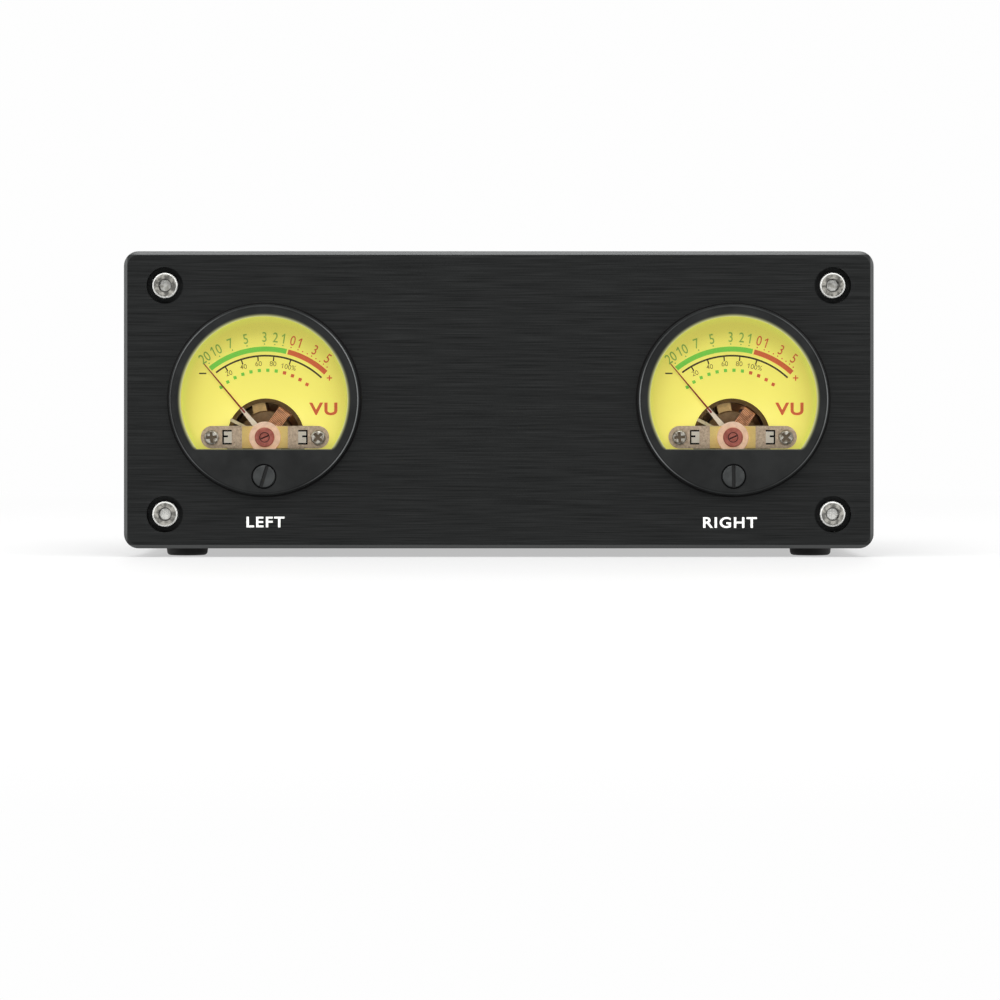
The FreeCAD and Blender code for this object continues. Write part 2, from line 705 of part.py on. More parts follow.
def jewel_screw():
    """Red bearing cap with a slotted centre and a neck that carries the front jewel."""
    z = -PIVOT_DROP
    cap_back = BRIDGE_FRONT - INSULATOR_T
    top = cap_back - CAP_H
    cap = tube_y(CAP_R, top, cap_back, 0, z)
    cap = cap.makeFillet(CAP_ROUND, edges_at_y(cap, top))
    groove = tube_y(CAP_SCREW_R, top - 1, top + CAP_GROOVE_DEPTH, 0, z, CAP_SCREW_R - CAP_GROOVE_W)
    half_l = CAP_SLOT_L / 2
    half_w = CAP_SLOT_W / 2
    slot = box(-half_l, half_l, top - 1, top + CAP_SLOT_DEPTH, z - half_w, z + half_w)
    slot.rotate(Vector(0, 0, z), Vector(0, 1, 0), CAP_SLOT_TILT)
    neck = tube_y(NECK_R, cap_back, NECK_END, 0, z)
    jewel = cone_y(JEWEL_TIP_R, JEWEL_MOUTH_R, NECK_END - JEWEL_DEPTH, NECK_END, 0, z)
    return fuse(cap, neck).cut([groove, slot, jewel])


def hub_ring():
    """Clear ring round the bearing cap, on the insulator."""
    back = BRIDGE_FRONT - INSULATOR_T
    ring = tube_y(HUB_RING_R, back - HUB_RING_T, back, 0, -PIVOT_DROP, CAP_R)
    rim = edges_at_y(ring, back - HUB_RING_T)
    outer_rim = [e for e in rim if e.BoundBox.XMax > (CAP_R + HUB_RING_R) / 2]
    return ring.makeFillet(HUB_RING_ROUND, outer_rim)


def insulator():
    """Amber strip between the bridge and the hub ring."""
    z = -PIVOT_DROP
    strip = box(
        -INSULATOR_W / 2,
        INSULATOR_W / 2,
        BRIDGE_FRONT - INSULATOR_T,
        BRIDGE_FRONT,
        z - INSULATOR_H / 2,
        z + INSULATOR_H / 2,
    )
    return strip.cut(tube_y(NECK_R, 0, BRIDGE_FRONT + 1, 0, z))


def hairspring():
    """Flat spiral strip made of half-circle arcs, each on its own centre."""
    z = -PIVOT_DROP
    half = SPRING_STRIP / 2
    shift = SPRING_PITCH / 4

    def side_edges(offset):
        """Half-circle edges of one side of the strip, from the inner end outwards."""
        edges = []
        for k in range(SPRING_HALF_TURNS):
            r = SPRING_INNER_R + k * SPRING_PITCH / 2 + offset
            centre = shift if k % 2 else -shift
            way = 1 if k % 2 else -1
            start = Vector(centre - way * r, SPRING_FRONT, z)
            middle = Vector(centre, SPRING_FRONT, z - way * r)
            end = Vector(centre + way * r, SPRING_FRONT, z)
            edges.append(Part.Arc(start, middle, end).toShape())
        return edges

    outer = side_edges(half)
    inner = side_edges(-half)
    inner_end = Part.makeLine(start_of(outer[0]), start_of(inner[0]))
    outer_end = Part.makeLine(end_of(outer[-1]), end_of(inner[-1]))
    wire = Part.Wire(Part.__sortEdges__(outer + inner + [inner_end, outer_end]))
    strip = Part.Face(wire).extrude(Vector(0, SPRING_H, 0))
    way = 1 if (SPRING_HALF_TURNS - 1) % 2 else -1
    end_angle = 0 if way > 0 else 180
    return turned(strip, TAB_ANGLE - end_angle)


def spring_reach():
    """How far the spring's outer end is from the pivot."""
    last = SPRING_HALF_TURNS - 1
    return SPRING_INNER_R + last * SPRING_PITCH / 2 - SPRING_PITCH / 4


def zero_arm():
    """Arm that turns on the bearing's neck: a fork on the eccentric pin and a spring tab."""
    z = -PIVOT_DROP
    back = ARM_FRONT + ARM_T
    pin_reach = ADJUST_DROP - PIVOT_DROP - PIN_OFFSET
    ring = tube_y(ARM_RING_R, ARM_FRONT, back, 0, z)
    tail = bar(0, pin_reach, ARM_TAIL_W, ARM_TAIL_W, ARM_FRONT, back, -90)
    fork_end = pin_reach + FORK_REACH
    fork = bar(pin_reach - FORK_ROOT, fork_end, FORK_W, FORK_W, ARM_FRONT, back, -90)
    slot_root = pin_reach - FORK_SLOT_ROOT
    slot = bar(slot_root, fork_end + 1, FORK_SLOT_W, FORK_SLOT_W, ARM_FRONT - 1, back + 1, -90)
    tab = bar(0, TAB_REACH, TAB_W, TAB_W, ARM_FRONT, back, TAB_ANGLE)
    post_in = spring_reach() - POST_W / 2
    post_back = SPRING_FRONT + SPRING_H
    post = bar(post_in, post_in + POST_W, POST_W, POST_W, back, post_back, TAB_ANGLE)
    bore = tube_y(NECK_R + RUN_GAP, ARM_FRONT - 1, back + 1, 0, z)
    return fuse(ring, tail, fork, tab, post).cut([slot, bore, hairspring()])


def scale_plate():
    """Dial plate with an arch cut out round the movement."""
    z = -PIVOT_DROP
    back = PLATE_FRONT + PLATE_T
    plate = segment_disc(PLATE_R, PLATE_CHORD, PLATE_FRONT, back)
    cuts = [
        tube_y(ARCH_R, PLATE_FRONT - 1, back + 1, 0, z),
        box(-ARCH_R, ARCH_R, PLATE_FRONT - 1, back + 1, -2 * PLATE_R, z),
    ]
    for s in (-1, 1):
        cuts.append(tube_y(BRIDGE_SCREW_R + RUN_GAP, 0, back + 1, s * BRIDGE_SCREW_X, z))
    return plate.cut(cuts)


def pointer_arm():
    """Carrier on the pivot: the pointer's root, a tail and two side arms with weights."""
    back = POINTER_FRONT + POINTER_T
    along = 90 + REST_ANGLE
    hub = tube_y(POINTER_HUB_R, POINTER_FRONT, back, 0, -PIVOT_DROP)
    widths = (POINTER_ARM_ROOT_W, POINTER_ARM_TIP_W)
    parts = [bar(0, POINTER_ARM_REACH, *widths, POINTER_FRONT, back, along)]
    for turn, reach in ((180, TAIL_REACH), (90, SIDE_REACH), (-90, SIDE_REACH)):
        parts.append(bar(0, reach, TAIL_W, TAIL_W, POINTER_FRONT, back, along + turn))
    light = fuse(hub, *parts)
    weight_back = COIL_FRONT - WEIGHT_GAP
    weight_t = weight_back - POINTER_FRONT
    tail_r = math.sqrt(moment(light, needle()) / (math.pi * weight_t * TAIL_REACH))
    weights = []
    spots = [(turn, SIDE_REACH, SIDE_WEIGHT_R) for turn in (90, -90)]
    for turn, reach, r in spots + [(180, TAIL_REACH, tail_r)]:
        weight = tube_y(r, POINTER_FRONT, weight_back, reach, -PIVOT_DROP)
        weights.append(turned(weight, along + turn))
    stub = tube_y(STUB_R, 0, weight_back + 1, 0, -PIVOT_DROP)
    return fuse(light, *weights).cut([stub, needle()])


def moment(*shapes):
    """How much the solids together outweigh the pointer's tail: volume times reach."""
    along = math.radians(90 + REST_ANGLE)
    pivot = Vector(0, 0, -PIVOT_DROP)
    pointing = Vector(math.cos(along), 0, math.sin(along))
    solids = [solid for shape in shapes for solid in shape.Solids]
    return sum(s.Volume * (s.CenterOfMass - pivot).dot(pointing) for s in solids)


def needle():
    """Thin red pointer, let into the end of its carrier."""
    root = POINTER_ARM_REACH - NEEDLE_OVERLAP
    back = POINTER_FRONT + NEEDLE_T
    return bar(root, NEEDLE_REACH, NEEDLE_ROOT_W, NEEDLE_TIP_W, POINTER_FRONT, back, 90 + REST_ANGLE)


def coil_shell(reach, front, back, width, rounding):
    """A block round the pivot's axis, with its long edges rounded."""
    block = box(-reach, reach, front, back, -width / 2, width / 2)
    block = block.makeFillet(rounding, [e for e in block.Edges if abs(e.tangentAt(0).z) > 0.9])
    block.translate(Vector(0, 0, -PIVOT_DROP))
    return turned(block, COIL_ANGLE)


def coil():
    """Copper winding: a rectangular loop round the core, with a hole for each stub."""
    inner_reach = COIL_REACH - COIL_WIND
    outside = coil_shell(COIL_REACH, COIL_FRONT, COIL_BACK, COIL_W, COIL_ROUND)
    front = COIL_FRONT + COIL_WIND
    back = COIL_BACK - COIL_WIND
    inside = coil_shell(inner_reach, front, back, COIL_W + 2, FORMER_ROUND)
    return outside.cut([inside, tube_y(STUB_R, 0, COIL_BACK + 5, 0, -PIVOT_DROP)])


def coil_frame():
    """Aluminium former inside the winding, with the two pivot stubs."""
    z = -PIVOT_DROP
    reach = COIL_REACH - COIL_WIND
    front = COIL_FRONT + COIL_WIND
    back = COIL_BACK - COIL_WIND
    outside = coil_shell(reach, front, back, COIL_W, FORMER_ROUND)
    inner = (reach - FORMER_T, front + FORMER_T, back - FORMER_T)
    inside = coil_shell(*inner, COIL_W + 2, FORMER_ROUND / 2)
    tip = NECK_END - JEWEL_DEPTH + PIVOT_TO_JEWEL
    parts = [
        tube_y(STUB_R, POINTER_FRONT - STUB_PROUD, front + FORMER_T, 0, z),
        tube_y(STUB_FLANGE_R, COIL_FRONT - STUB_FLANGE_T, COIL_FRONT, 0, z),
        tube_y(PIVOT_R, tip + PIVOT_CONE, POINTER_FRONT, 0, z),
        cone_y(PIVOT_TIP_R, PIVOT_R, tip, tip + PIVOT_CONE, 0, z),
    ]
    rear_tip = FRAME_FRONT + JEWEL_DEPTH - PIVOT_TO_JEWEL
    parts += [
        tube_y(STUB_R, back - FORMER_T, COIL_BACK + STUB_FLANGE_T, 0, z),
        tube_y(STUB_FLANGE_R, COIL_BACK, COIL_BACK + STUB_FLANGE_T, 0, z),
        tube_y(PIVOT_R, COIL_BACK, rear_tip - PIVOT_CONE, 0, z),
        cone_y(PIVOT_R, PIVOT_TIP_R, rear_tip - PIVOT_CONE, rear_tip, 0, z),
    ]
    return fuse(outside.cut(inside), *parts)


def magnet_core():
    """Round magnet inside the coil."""
    core = tube_y(CORE_R, CORE_FRONT, CORE_FRONT + CORE_LENGTH, 0, -PIVOT_DROP)
    return core.makeChamfer(CORE_EDGE, edges_at_y(core, CORE_FRONT))


def yoke_ring():
    """Soft iron ring round the coil."""
    return tube_y(YOKE_OUT_R, YOKE_FRONT, FRAME_FRONT, 0, -PIVOT_DROP, YOKE_IN_R)


def rear_frame():
    """Cast frame: a disc with the rear jewel, and two posts that hold the core in the yoke."""
    z = -PIVOT_DROP
    back = FRAME_FRONT + FRAME_T
    wall = HOUSING_BACK - HOUSING_BACK_T
    disc = tube_y(YOKE_OUT_R, FRAME_FRONT, back, 0, z)
    boss = tube_y(FRAME_BOSS_R, back, wall, 0, z)
    gap = tube_y(YOKE_IN_R, CORE_FRONT, FRAME_FRONT, 0, z, CORE_R)
    posts = []
    for angle in (FRAME_POST_ANGLE, FRAME_POST_ANGLE + 180):
        slab = bar(0, YOKE_OUT_R, FRAME_POST_W, FRAME_POST_W, CORE_FRONT, FRAME_FRONT, angle)
        posts.append(slab.common(gap))
    jewel = cone_y(JEWEL_MOUTH_R, JEWEL_TIP_R, FRAME_FRONT, FRAME_FRONT + JEWEL_DEPTH, 0, z)
    return fuse(disc, boss, *posts).cut(jewel)


def housing():
    """Black cup behind the bezel, with pillars for the bridge screws and posts for the lamp."""
    wall = HOUSING_BACK - HOUSING_BACK_T
    plate_back = PLATE_FRONT + PLATE_T
    spigot = tube_y(LENS_R, plate_back, SLEEVE_LENGTH, hole=HOUSING_IN_R)
    can = tube_y(SLEEVE_R, SLEEVE_LENGTH, HOUSING_BACK)
    can = can.makeFillet(HOUSING_ROUND, edges_at_y(can, HOUSING_BACK))
    can = can.cut(tube_y(HOUSING_IN_R, SLEEVE_LENGTH - 1, wall))
    in_wall = wall + HOUSING_BACK_T / 2
    bore_r = BRIDGE_SCREW_R + RUN_GAP
    bore_end = BRIDGE_SCREW_END + 1
    parts = [spigot]
    cuts = terminals()
    for s in (-1, 1):
        x = s * BRIDGE_SCREW_X
        parts.append(tube_y(PILLAR_R, plate_back, in_wall, x, -PIVOT_DROP))
        parts.append(tube_y(LAMP_POST_R, LAMP_FRONT + LAMP_T, in_wall, s * LAMP_POST_X, LAMP_Z))
        cuts.append(tube_y(bore_r, plate_back - 1, bore_end, x, -PIVOT_DROP))
    return fuse(can, *parts).cut(cuts)


def terminals():
    """Four brass solder tags through the back of a housing."""
    y0 = HOUSING_BACK - HOUSING_BACK_T - TERMINAL_IN
    y1 = HOUSING_BACK + TERMINAL_OUT
    tags = []
    for s in (-1, 1):
        for z in TERMINAL_Z:
            x = s * TERMINAL_X
            tag = box(x - TERMINAL_W / 2, x + TERMINAL_W / 2, y0, y1, z - TERMINAL_T / 2, z + TERMINAL_T / 2)
            tags.append(tag)
    return tags


def lamp():
    """Strip board with three warm lamps that light the scale plate from behind."""
    board = box(
        -LAMP_W / 2,
        LAMP_W / 2,
        LAMP_FRONT,
        LAMP_FRONT + LAMP_T,
        LAMP_Z - LAMP_H / 2,
        LAMP_Z + LAMP_H / 2,
    )
    lights = [tube_y(LED_R, LAMP_FRONT - LED_H, LAMP_FRONT, i * LED_PITCH, LAMP_Z) for i in (-1, 0, 1)]
    return fuse(board, *lights)


def circuit_board():
    """Driver board that slides in the sleeve's grooves."""
    half = CASE_W / 2 - CASE_WALL - BOARD_GAP
    return box(-half, half, BOARD_FRONT, REAR_FACE - PANEL_GAP, BOARD_TOP - BOARD_T, BOARD_TOP)


def board_components():
    """Wire connectors, two amplifier chips, capacitors and resistors on the board."""
    top = BOARD_TOP
    chip_y = REAR_FACE - PANEL_GAP - JACK_BODY_D - CHIP_TO_JACK
    capacitor_y = REAR_FACE - PANEL_GAP - POWER_BODY_D - CAPACITOR_TO_JACK - CAPACITOR_R
    solids = []
    for side in SIDES.values():
        for s in (-1, 1):
            x = side * METER_X + s * TERMINAL_X
            half = CONNECTOR_W / 2
            y0 = CONNECTOR_Y[0] - CONNECTOR_MARGIN
            y1 = CONNECTOR_Y[1] + CONNECTOR_MARGIN
            solids.append(box(x - half, x + half, y0, y1, top, top + CONNECTOR_H))
        x = side * CHIP_X
        solids.append(box(x - CHIP_W / 2, x + CHIP_W / 2, chip_y - CHIP_D, chip_y, top, top + CHIP_H))
        for i in (-1, 1):
            at = Vector(side * METER_X + i * CAPACITOR_PITCH / 2, capacitor_y, top)
            solids.append(Part.makeCylinder(CAPACITOR_R, CAPACITOR_H, at))
        low_x = x - side * (CHIP_W / 2 + RESISTOR_TO_CHIP) - RESISTOR_L / 2
        for i in range(RESISTOR_COUNT):
            at = Vector(low_x, chip_y - CHIP_D + RESISTOR_PITCH * i, top + RESISTOR_R)
            solids.append(Part.makeCylinder(RESISTOR_R, RESISTOR_L, at, Vector(1, 0, 0)))
    return Part.makeCompound(solids)


def l_wire(x, z_high, y_out, y_down, z_low):
    """A wire that leaves a tag straight back, bends once and drops into a connector."""
    r = WIRE_BEND_R
    corner = Vector(x, y_down, z_high)
    a = Vector(x, y_out, z_high)
    b = corner + Vector(0, -r, 0)
    c = corner + Vector(0, 0, -r)
    d = Vector(x, y_down, z_low)
    middle = corner + Vector(0, -r, -r) + Vector(0, 1, 1) * (r / math.sqrt(2))
    path = Part.Wire([Part.makeLine(a, b), Part.Arc(b, middle, c).toShape(), Part.makeLine(c, d)])
    section = Part.Wire(Part.makeCircle(WIRE_R, a, Vector(0, 1, 0)))
    return path.makePipeShell([section], True, False)


def meter_wires():
    """Eight wires from the meters' tags to the board's connectors."""
    y_out = HOUSING_BACK + TERMINAL_OUT
    z_low = BOARD_TOP + CONNECTOR_H
    solids = []
    for side in SIDES.values():
        for s in (-1, 1):
            x = side * METER_X + s * TERMINAL_X
            for z_high, y_down in zip(TERMINAL_Z, CONNECTOR_Y):
                solids.append(l_wire(x, z_high, y_out, y_down, z_low))
    return Part.makeCompound(solids)


def input_jack(x):
    """Coloured plastic body of an input jack: a block on the board and a round nose."""
    z = BOARD_TOP + JACK_RISE
    front = REAR_FACE - PANEL_GAP
    half = JACK_BODY_W / 2
    block = box(x - half, x + half, front - JACK_BODY_D, front, BOARD_TOP, BOARD_TOP + JACK_BODY_H)
    nose = tube_y(JACK_SHELL_IN_R - RUN_GAP, front, JACK_END - JACK_INSERT_BACK, x, z)
    end = JACK_END - JACK_INSERT_BACK
    contact = tube_y(JACK_CONTACT_R, end - JACK_CONTACT_DEPTH, end + 1, x, z)
    return fuse(block, nose).cut(contact)


def input_jack_shells():
    """Metal shells of the two input jacks, with a flange on the rear panel."""
    z = BOARD_TOP + JACK_RISE
    solids = []
    for x in JACK_X.values():
        neck = tube_y(JACK_NECK_R, REAR_FACE - PANEL_GAP, BACK_FACE, x, z)
        flange = tube_y(JACK_FLANGE_R, BACK_FACE, BACK_FACE + JACK_FLANGE_T, x, z)
        barrel = tube_y(JACK_SHELL_R, BACK_FACE + JACK_FLANGE_T, JACK_END, x, z)
        inside = tube_y(JACK_SHELL_IN_R, REAR_FACE - 2, JACK_END + 1, x, z)
        solids.append(fuse(neck, flange, barrel).cut(inside))
    return Part.makeCompound(solids)


def power_jack():
    """Barrel power jack: a block on the board, and a nose with a blind bore through the panel."""
    z = BOARD_TOP + POWER_RISE
    front = REAR_FACE - PANEL_GAP
    half = POWER_BODY_W / 2
    block = box(
        POWER_X - half,
        POWER_X + half,
        front - POWER_BODY_D,
        front,
        BOARD_TOP,
        BOARD_TOP + POWER_BODY_H,
    )
    nose = tube_y(POWER_NOSE_R, front, BACK_FACE, POWER_X, z)
    bore = tube_y(POWER_BORE_R, BACK_FACE - POWER_BORE_DEPTH, BACK_FACE + 1, POWER_X, z)
    return fuse(block, nose).cut([bore, power_jack_pin()])


def power_jack_pin():
    """Centre pin of the power jack, let into the block behind its bore."""
    root = BACK_FACE - POWER_BORE_DEPTH - POWER_PIN_ROOT
    return tube_y(POWER_PIN_R, root, BACK_FACE - POWER_PIN_SHORT, POWER_X, BOARD_TOP + POWER_RISE)


def arc_to(start, corner, end):
    """An edge from start to end, tangent to both lines that meet at the corner."""
    chord = start.distanceToPoint(end)
    side = start.distanceToPoint(corner)
    middle = (start + end) * 0.5
    cosine = min(1.0, chord / 2 / side)
    if cosine > 0.9999999:
        return Part.makeLine(start, end)
    apex = middle + (corner - middle) * (cosine / (1 + cosine))
    return Part.Arc(start, apex, end).toShape()


def biarc(start, way_out, end, way_in):
    """Two tangent arcs from start to end that leave and arrive in the two given directions."""
    span = end - start
    both = way_out + way_in
    spread = 2 * (1 - way_out.dot(way_in))
    if spread < 1e-9:
        reach = span.dot(span) / (4 * span.dot(way_in))
    else:
        root = math.sqrt(span.dot(both) ** 2 + spread * span.dot(span))
        reach = (root - span.dot(both)) / spread
    first = start + way_out * reach
    last = end - way_in * reach
    joint = (first + last) * 0.5
    return [arc_to(start, first, joint), arc_to(joint, last, end)]


def tube_along(edges, r):
    """A solid round tube of radius r along a chain of edges."""
    path = Part.Wire(edges)
    way = edges[0].tangentAt(edges[0].FirstParameter)
    section = Part.Wire(Part.makeCircle(r, start_of(edges[0]), way))
    return path.makePipeShell([section], True, False)


def cord_edges():
    """Straight runs joined by tangent arcs, each as large as its two runs allow."""
    points = [Vector(*p) for p in CORD_ROUTE]
    edges = []
    at = points[0]
    for before, corner, after in zip(points, points[1:], points[2:]):
        way_in = (corner - before).normalize()
        way_out = (after - corner).normalize()
        cut = CORD_BEND_SHARE * min(before.distanceToPoint(corner), corner.distanceToPoint(after))
        arc_start = corner - way_in * cut
        arc_end = corner + way_out * cut
        edges.append(Part.makeLine(at, arc_start))
        edges.append(arc_to(arc_start, corner, arc_end))
        at = arc_end
    edges.append(Part.makeLine(at, points[-1]))
    return edges


def hank_stations():
    """Points and directions along the hank: each run's start, waist and end, in order."""
    runs = 2 * HANK_LOOPS
    turn_back = runs // 2
    stations = []
    for n in range(runs):
        side = 1 if n % 2 == 0 else -1
        steps_in = n if n < turn_back else 2 * (turn_back - 1) - n
        offset = HANK_HALF_W - HANK_STEP / 2 * steps_in
        start_z = HANK_Z if n < turn_back else HANK_Z + HANK_LAYER
        end_z = HANK_Z if n < turn_back - 1 else HANK_Z + HANK_LAYER
        if n == runs - 1:
            end_z = USB_AXIS_Z
        way = Vector(-side, 0, 0)
        for u, v, z in (
            (side * HANK_REACH, offset, start_z),
            (0, offset - HANK_DRAWN_IN, (start_z + end_z) / 2),
            (-side * HANK_REACH, offset, end_z),
        ):
            stations.append((Vector(HANK_X + u, HANK_Y + side * v, z), way))
    return stations


def hank_edges():
    """The hank's path: a straight start, biarcs from station to station and a straight end."""
    stations = hank_stations()
    edges = []
    for (start, way_out), (end, way_in) in zip(stations, stations[1:]):
        edges += biarc(start, way_out, end, way_in)
    last = stations[-1][0]
    edges.append(Part.makeLine(last, Vector(USB_RELIEF_X, last.y, last.z)))
    return edges


def least_gap(edges, r):
    """The least gap between two stretches of a tube, measured on points along its path."""
    points = []
    for edge in edges:
        count = max(2, int(edge.Length / HANK_GAP_STEP))
        points += edge.discretize(count)[:-1]
    least = min(
        p.distanceToPoint(q)
        for i, p in enumerate(points)
        for q in points[i + HANK_NEIGHBOURS :]
    )
    return least - 2 * r


def lead_cord():
    """The cord from the power plug down to the surface and round to the hank."""
    return tube_along(cord_edges(), CORD_R)


def lead_hank():
    """The tied loops of cord, one unbroken tube, whose least gap to itself is measured and printed."""
    edges = hank_edges()
    print(f"lead_hank: least gap to itself {least_gap(edges, CORD_R):.2f} mm")
    return tube_along(edges, CORD_R)


def lead_tie():
    """Wire tie: a band round the hank's waist, its twist and two tails."""
    grip = CORD_R + TIE_GAP
    y_low = HANK_Y - (HANK_HALF_W + HANK_STEP / 2 - HANK_DRAWN_IN) - grip
    y_high = HANK_Y + HANK_HALF_W - HANK_DRAWN_IN + grip
    z_low = HANK_Z - grip
    z_high = HANK_Z + HANK_LAYER + grip
    x_low = HANK_X - TIE_W / 2

    def band_block(out):
        """A rounded block round the waist, out by a given distance."""
        size = Vector(TIE_W, y_high - y_low + 2 * out, z_high - z_low + 2 * out)
        block = Part.makeBox(size.x, size.y, size.z, Vector(x_low, y_low - out, z_low - out))
        return block.makeFillet(grip + out, [e for e in block.Edges if abs(e.tangentAt(0).x) > 0.9])

    band = band_block(TIE_T).cut(band_block(0))
    z = (z_low + z_high) / 2
    root = Vector(HANK_X, y_high + TIE_T / 2, z)
    twist = Part.makeCylinder(TIE_TWIST_R, TIE_TWIST_L, root, Vector(0, 1, 0))
    knot = root + Vector(0, TIE_TWIST_L - TIE_TWIST_R, 0)
    tails = []
    for length, heading in TIE_TAILS:
        tail = box(0, length, -TIE_TAIL_W / 2, TIE_TAIL_W / 2, -TIE_TAIL_T / 2, TIE_TAIL_T / 2)
        tail.rotate(Vector(0, 0, 0), Vector(0, 0, 1), heading)
        tails.append(tail.translated(knot))
    return fuse(band, twist, *tails)


def dc_plug_grip():
    """Moulded grip of the power plug, with a grooved, tapered strain relief."""
    x, z = POWER_X, JACK_AXIS_Z
    y1 = JACK_FACE_Y + GRIP_COLLAR_L
    y2 = y1 + GRIP_BODY_L
    y3 = y2 + GRIP_TAPER_L
    collar = tube_y(GRIP_COLLAR_R, JACK_FACE_Y, y1, x, z)
    collar = collar.makeChamfer(GRIP_EDGE, edges_at_y(collar, JACK_FACE_Y))
    body = tube_y(GRIP_BODY_R, y1, y2, x, z)
    taper = cone_y(GRIP_TAPER_FRONT_R, GRIP_TAPER_BACK_R, y2, y3, x, z)
    grooves = []
    pitch = GRIP_TAPER_L / (GRIP_GROOVES + 0.5)
    for i in range(GRIP_GROOVES):
        y = y2 + pitch * (i + 0.5)
        r = GRIP_TAPER_FRONT_R + (GRIP_TAPER_BACK_R - GRIP_TAPER_FRONT_R) * (y - y2) / GRIP_TAPER_L
        ring = tube_y(r + 1, y, y + GRIP_GROOVE_W, x, z, max(r - GRIP_GROOVE_DEPTH, CORD_R))
        half = GRIP_WEB_W / 2
        web = box(x - half, x + half, y - 1, y + GRIP_GROOVE_W + 1, z - 2 * r, z + 2 * r)
        if i % 2:
            web.rotate(Vector(x, y, z), Vector(0, 1, 0), 90)
        grooves.append(ring.cut(web))
    return fuse(collar, body, taper).cut(grooves)


def dc_plug_barrel():
    """Metal barrel of the power plug, round the jack's centre pin."""
    x, z = POWER_X, JACK_AXIS_Z
    tip = JACK_FACE_Y - BARREL_LENGTH
    barrel = tube_y(BARREL_R, tip, JACK_FACE_Y, x, z)
    return barrel.cut(tube_y(BARREL_BORE_R, tip - 1, JACK_FACE_Y - BARREL_ROOT, x, z))


def usb_plug_grip():
    """Moulded grip of the USB plug: ribbed sides, a taper and a strain relief."""
    y = USB_TIP[1]
    x0 = USB_GRIP_X
    x1 = x0 + USB_GRIP_L
    half_w = USB_GRIP_W / 2
    half_h = USB_GRIP_H / 2
    block = box(x0, x1, y - half_w, y + half_w, 0, USB_GRIP_H)
    block = block.makeFillet(USB_GRIP_ROUND, [e for e in block.Edges if abs(e.tangentAt(0).x) > 0.9])
    wide = rectangle_at(x0, y, half_w - USB_SHOULDER_W, half_h - USB_SHOULDER_H)
    narrow = rectangle_at(x0 - USB_TAPER_L, y, USB_NECK_W / 2, USB_RELIEF_R)
    taper = Part.makeLoft([wide, narrow], True, True)
    start = Vector(USB_RELIEF_X, y, USB_AXIS_Z)
    relief = Part.makeCylinder(USB_RELIEF_R, USB_RELIEF_L, start, Vector(1, 0, 0))
    low = USB_RIBS_FROM_FACE
    high = USB_GRIP_H - USB_RIBS_FROM_FACE
    grooves = []
    for i in range(USB_RIBS):
        x = x1 - USB_RIBS_FROM_SHELL - USB_RIB_PITCH * i
        for side in (-1, 1):
            edge = y + side * half_w
            depth = sorted((edge - side * USB_RIB_DEPTH, edge + side))
            grooves.append(box(x - USB_RIB_PITCH / 2, x, *depth, low, high))
    return fuse(block, taper, relief).cut(grooves)


def rectangle_at(x, y, half_w, half_h):
    """An upright rectangle across the USB plug's axis, as a closed wire."""
    z = USB_AXIS_Z
    corners = [(-1, -1), (1, -1), (1, 1), (-1, 1), (-1, -1)]
    return Part.Wire(Part.makePolygon([Vector(x, y + i * half_w, z + k * half_h) for i, k in corners]))


def usb_plug_shell():
    """Folded metal shell of the USB plug with its two pairs of square holes, round a tongue."""
    y = USB_TIP[1]
    z = USB_AXIS_Z
    x0 = USB_GRIP_X + USB_GRIP_L
    x1 = x0 + USB_SHELL_L
    half_w = USB_SHELL_W / 2
    half_h = USB_SHELL_H / 2
    shell = box(x0, x1, y - half_w, y + half_w, z - half_h, z + half_h)
    inside_w = half_w - USB_SHELL_WALL
    inside_h = half_h - USB_SHELL_WALL
    low = z - inside_h
    sides = (y - inside_w, y + inside_w)
    hollow = box(x0 + USB_SHELL_ROOT, x1 + 1, *sides, low, z + inside_h)
    tongue = box(x0, x1 - USB_TONGUE_SHORT, *sides, low, low + USB_TONGUE_T)
    holes = []
    for side in (-1, 1):
        low_x = x0 + USB_HOLE_FROM_GRIP
        low_y = y + side * USB_HOLE_X - USB_HOLE / 2
        holes.append(box(low_x, low_x + USB_HOLE, low_y, low_y + USB_HOLE, z + half_h - 1, z + half_h + 1))
    return fuse(shell.cut([hollow] + holes), tongue)


def lead():
    """The lead's pieces, by name, already in the whole object's frame."""
    return {
        "lead_cord": lead_cord(),
        "lead_hank": lead_hank(),
        "lead_tie": lead_tie(),
        "dc_plug_grip": dc_plug_grip(),
        "dc_plug_barrel": dc_plug_barrel(),
        "usb_plug_grip": usb_plug_grip(),
        "usb_plug_shell": usb_plug_shell(),
    }


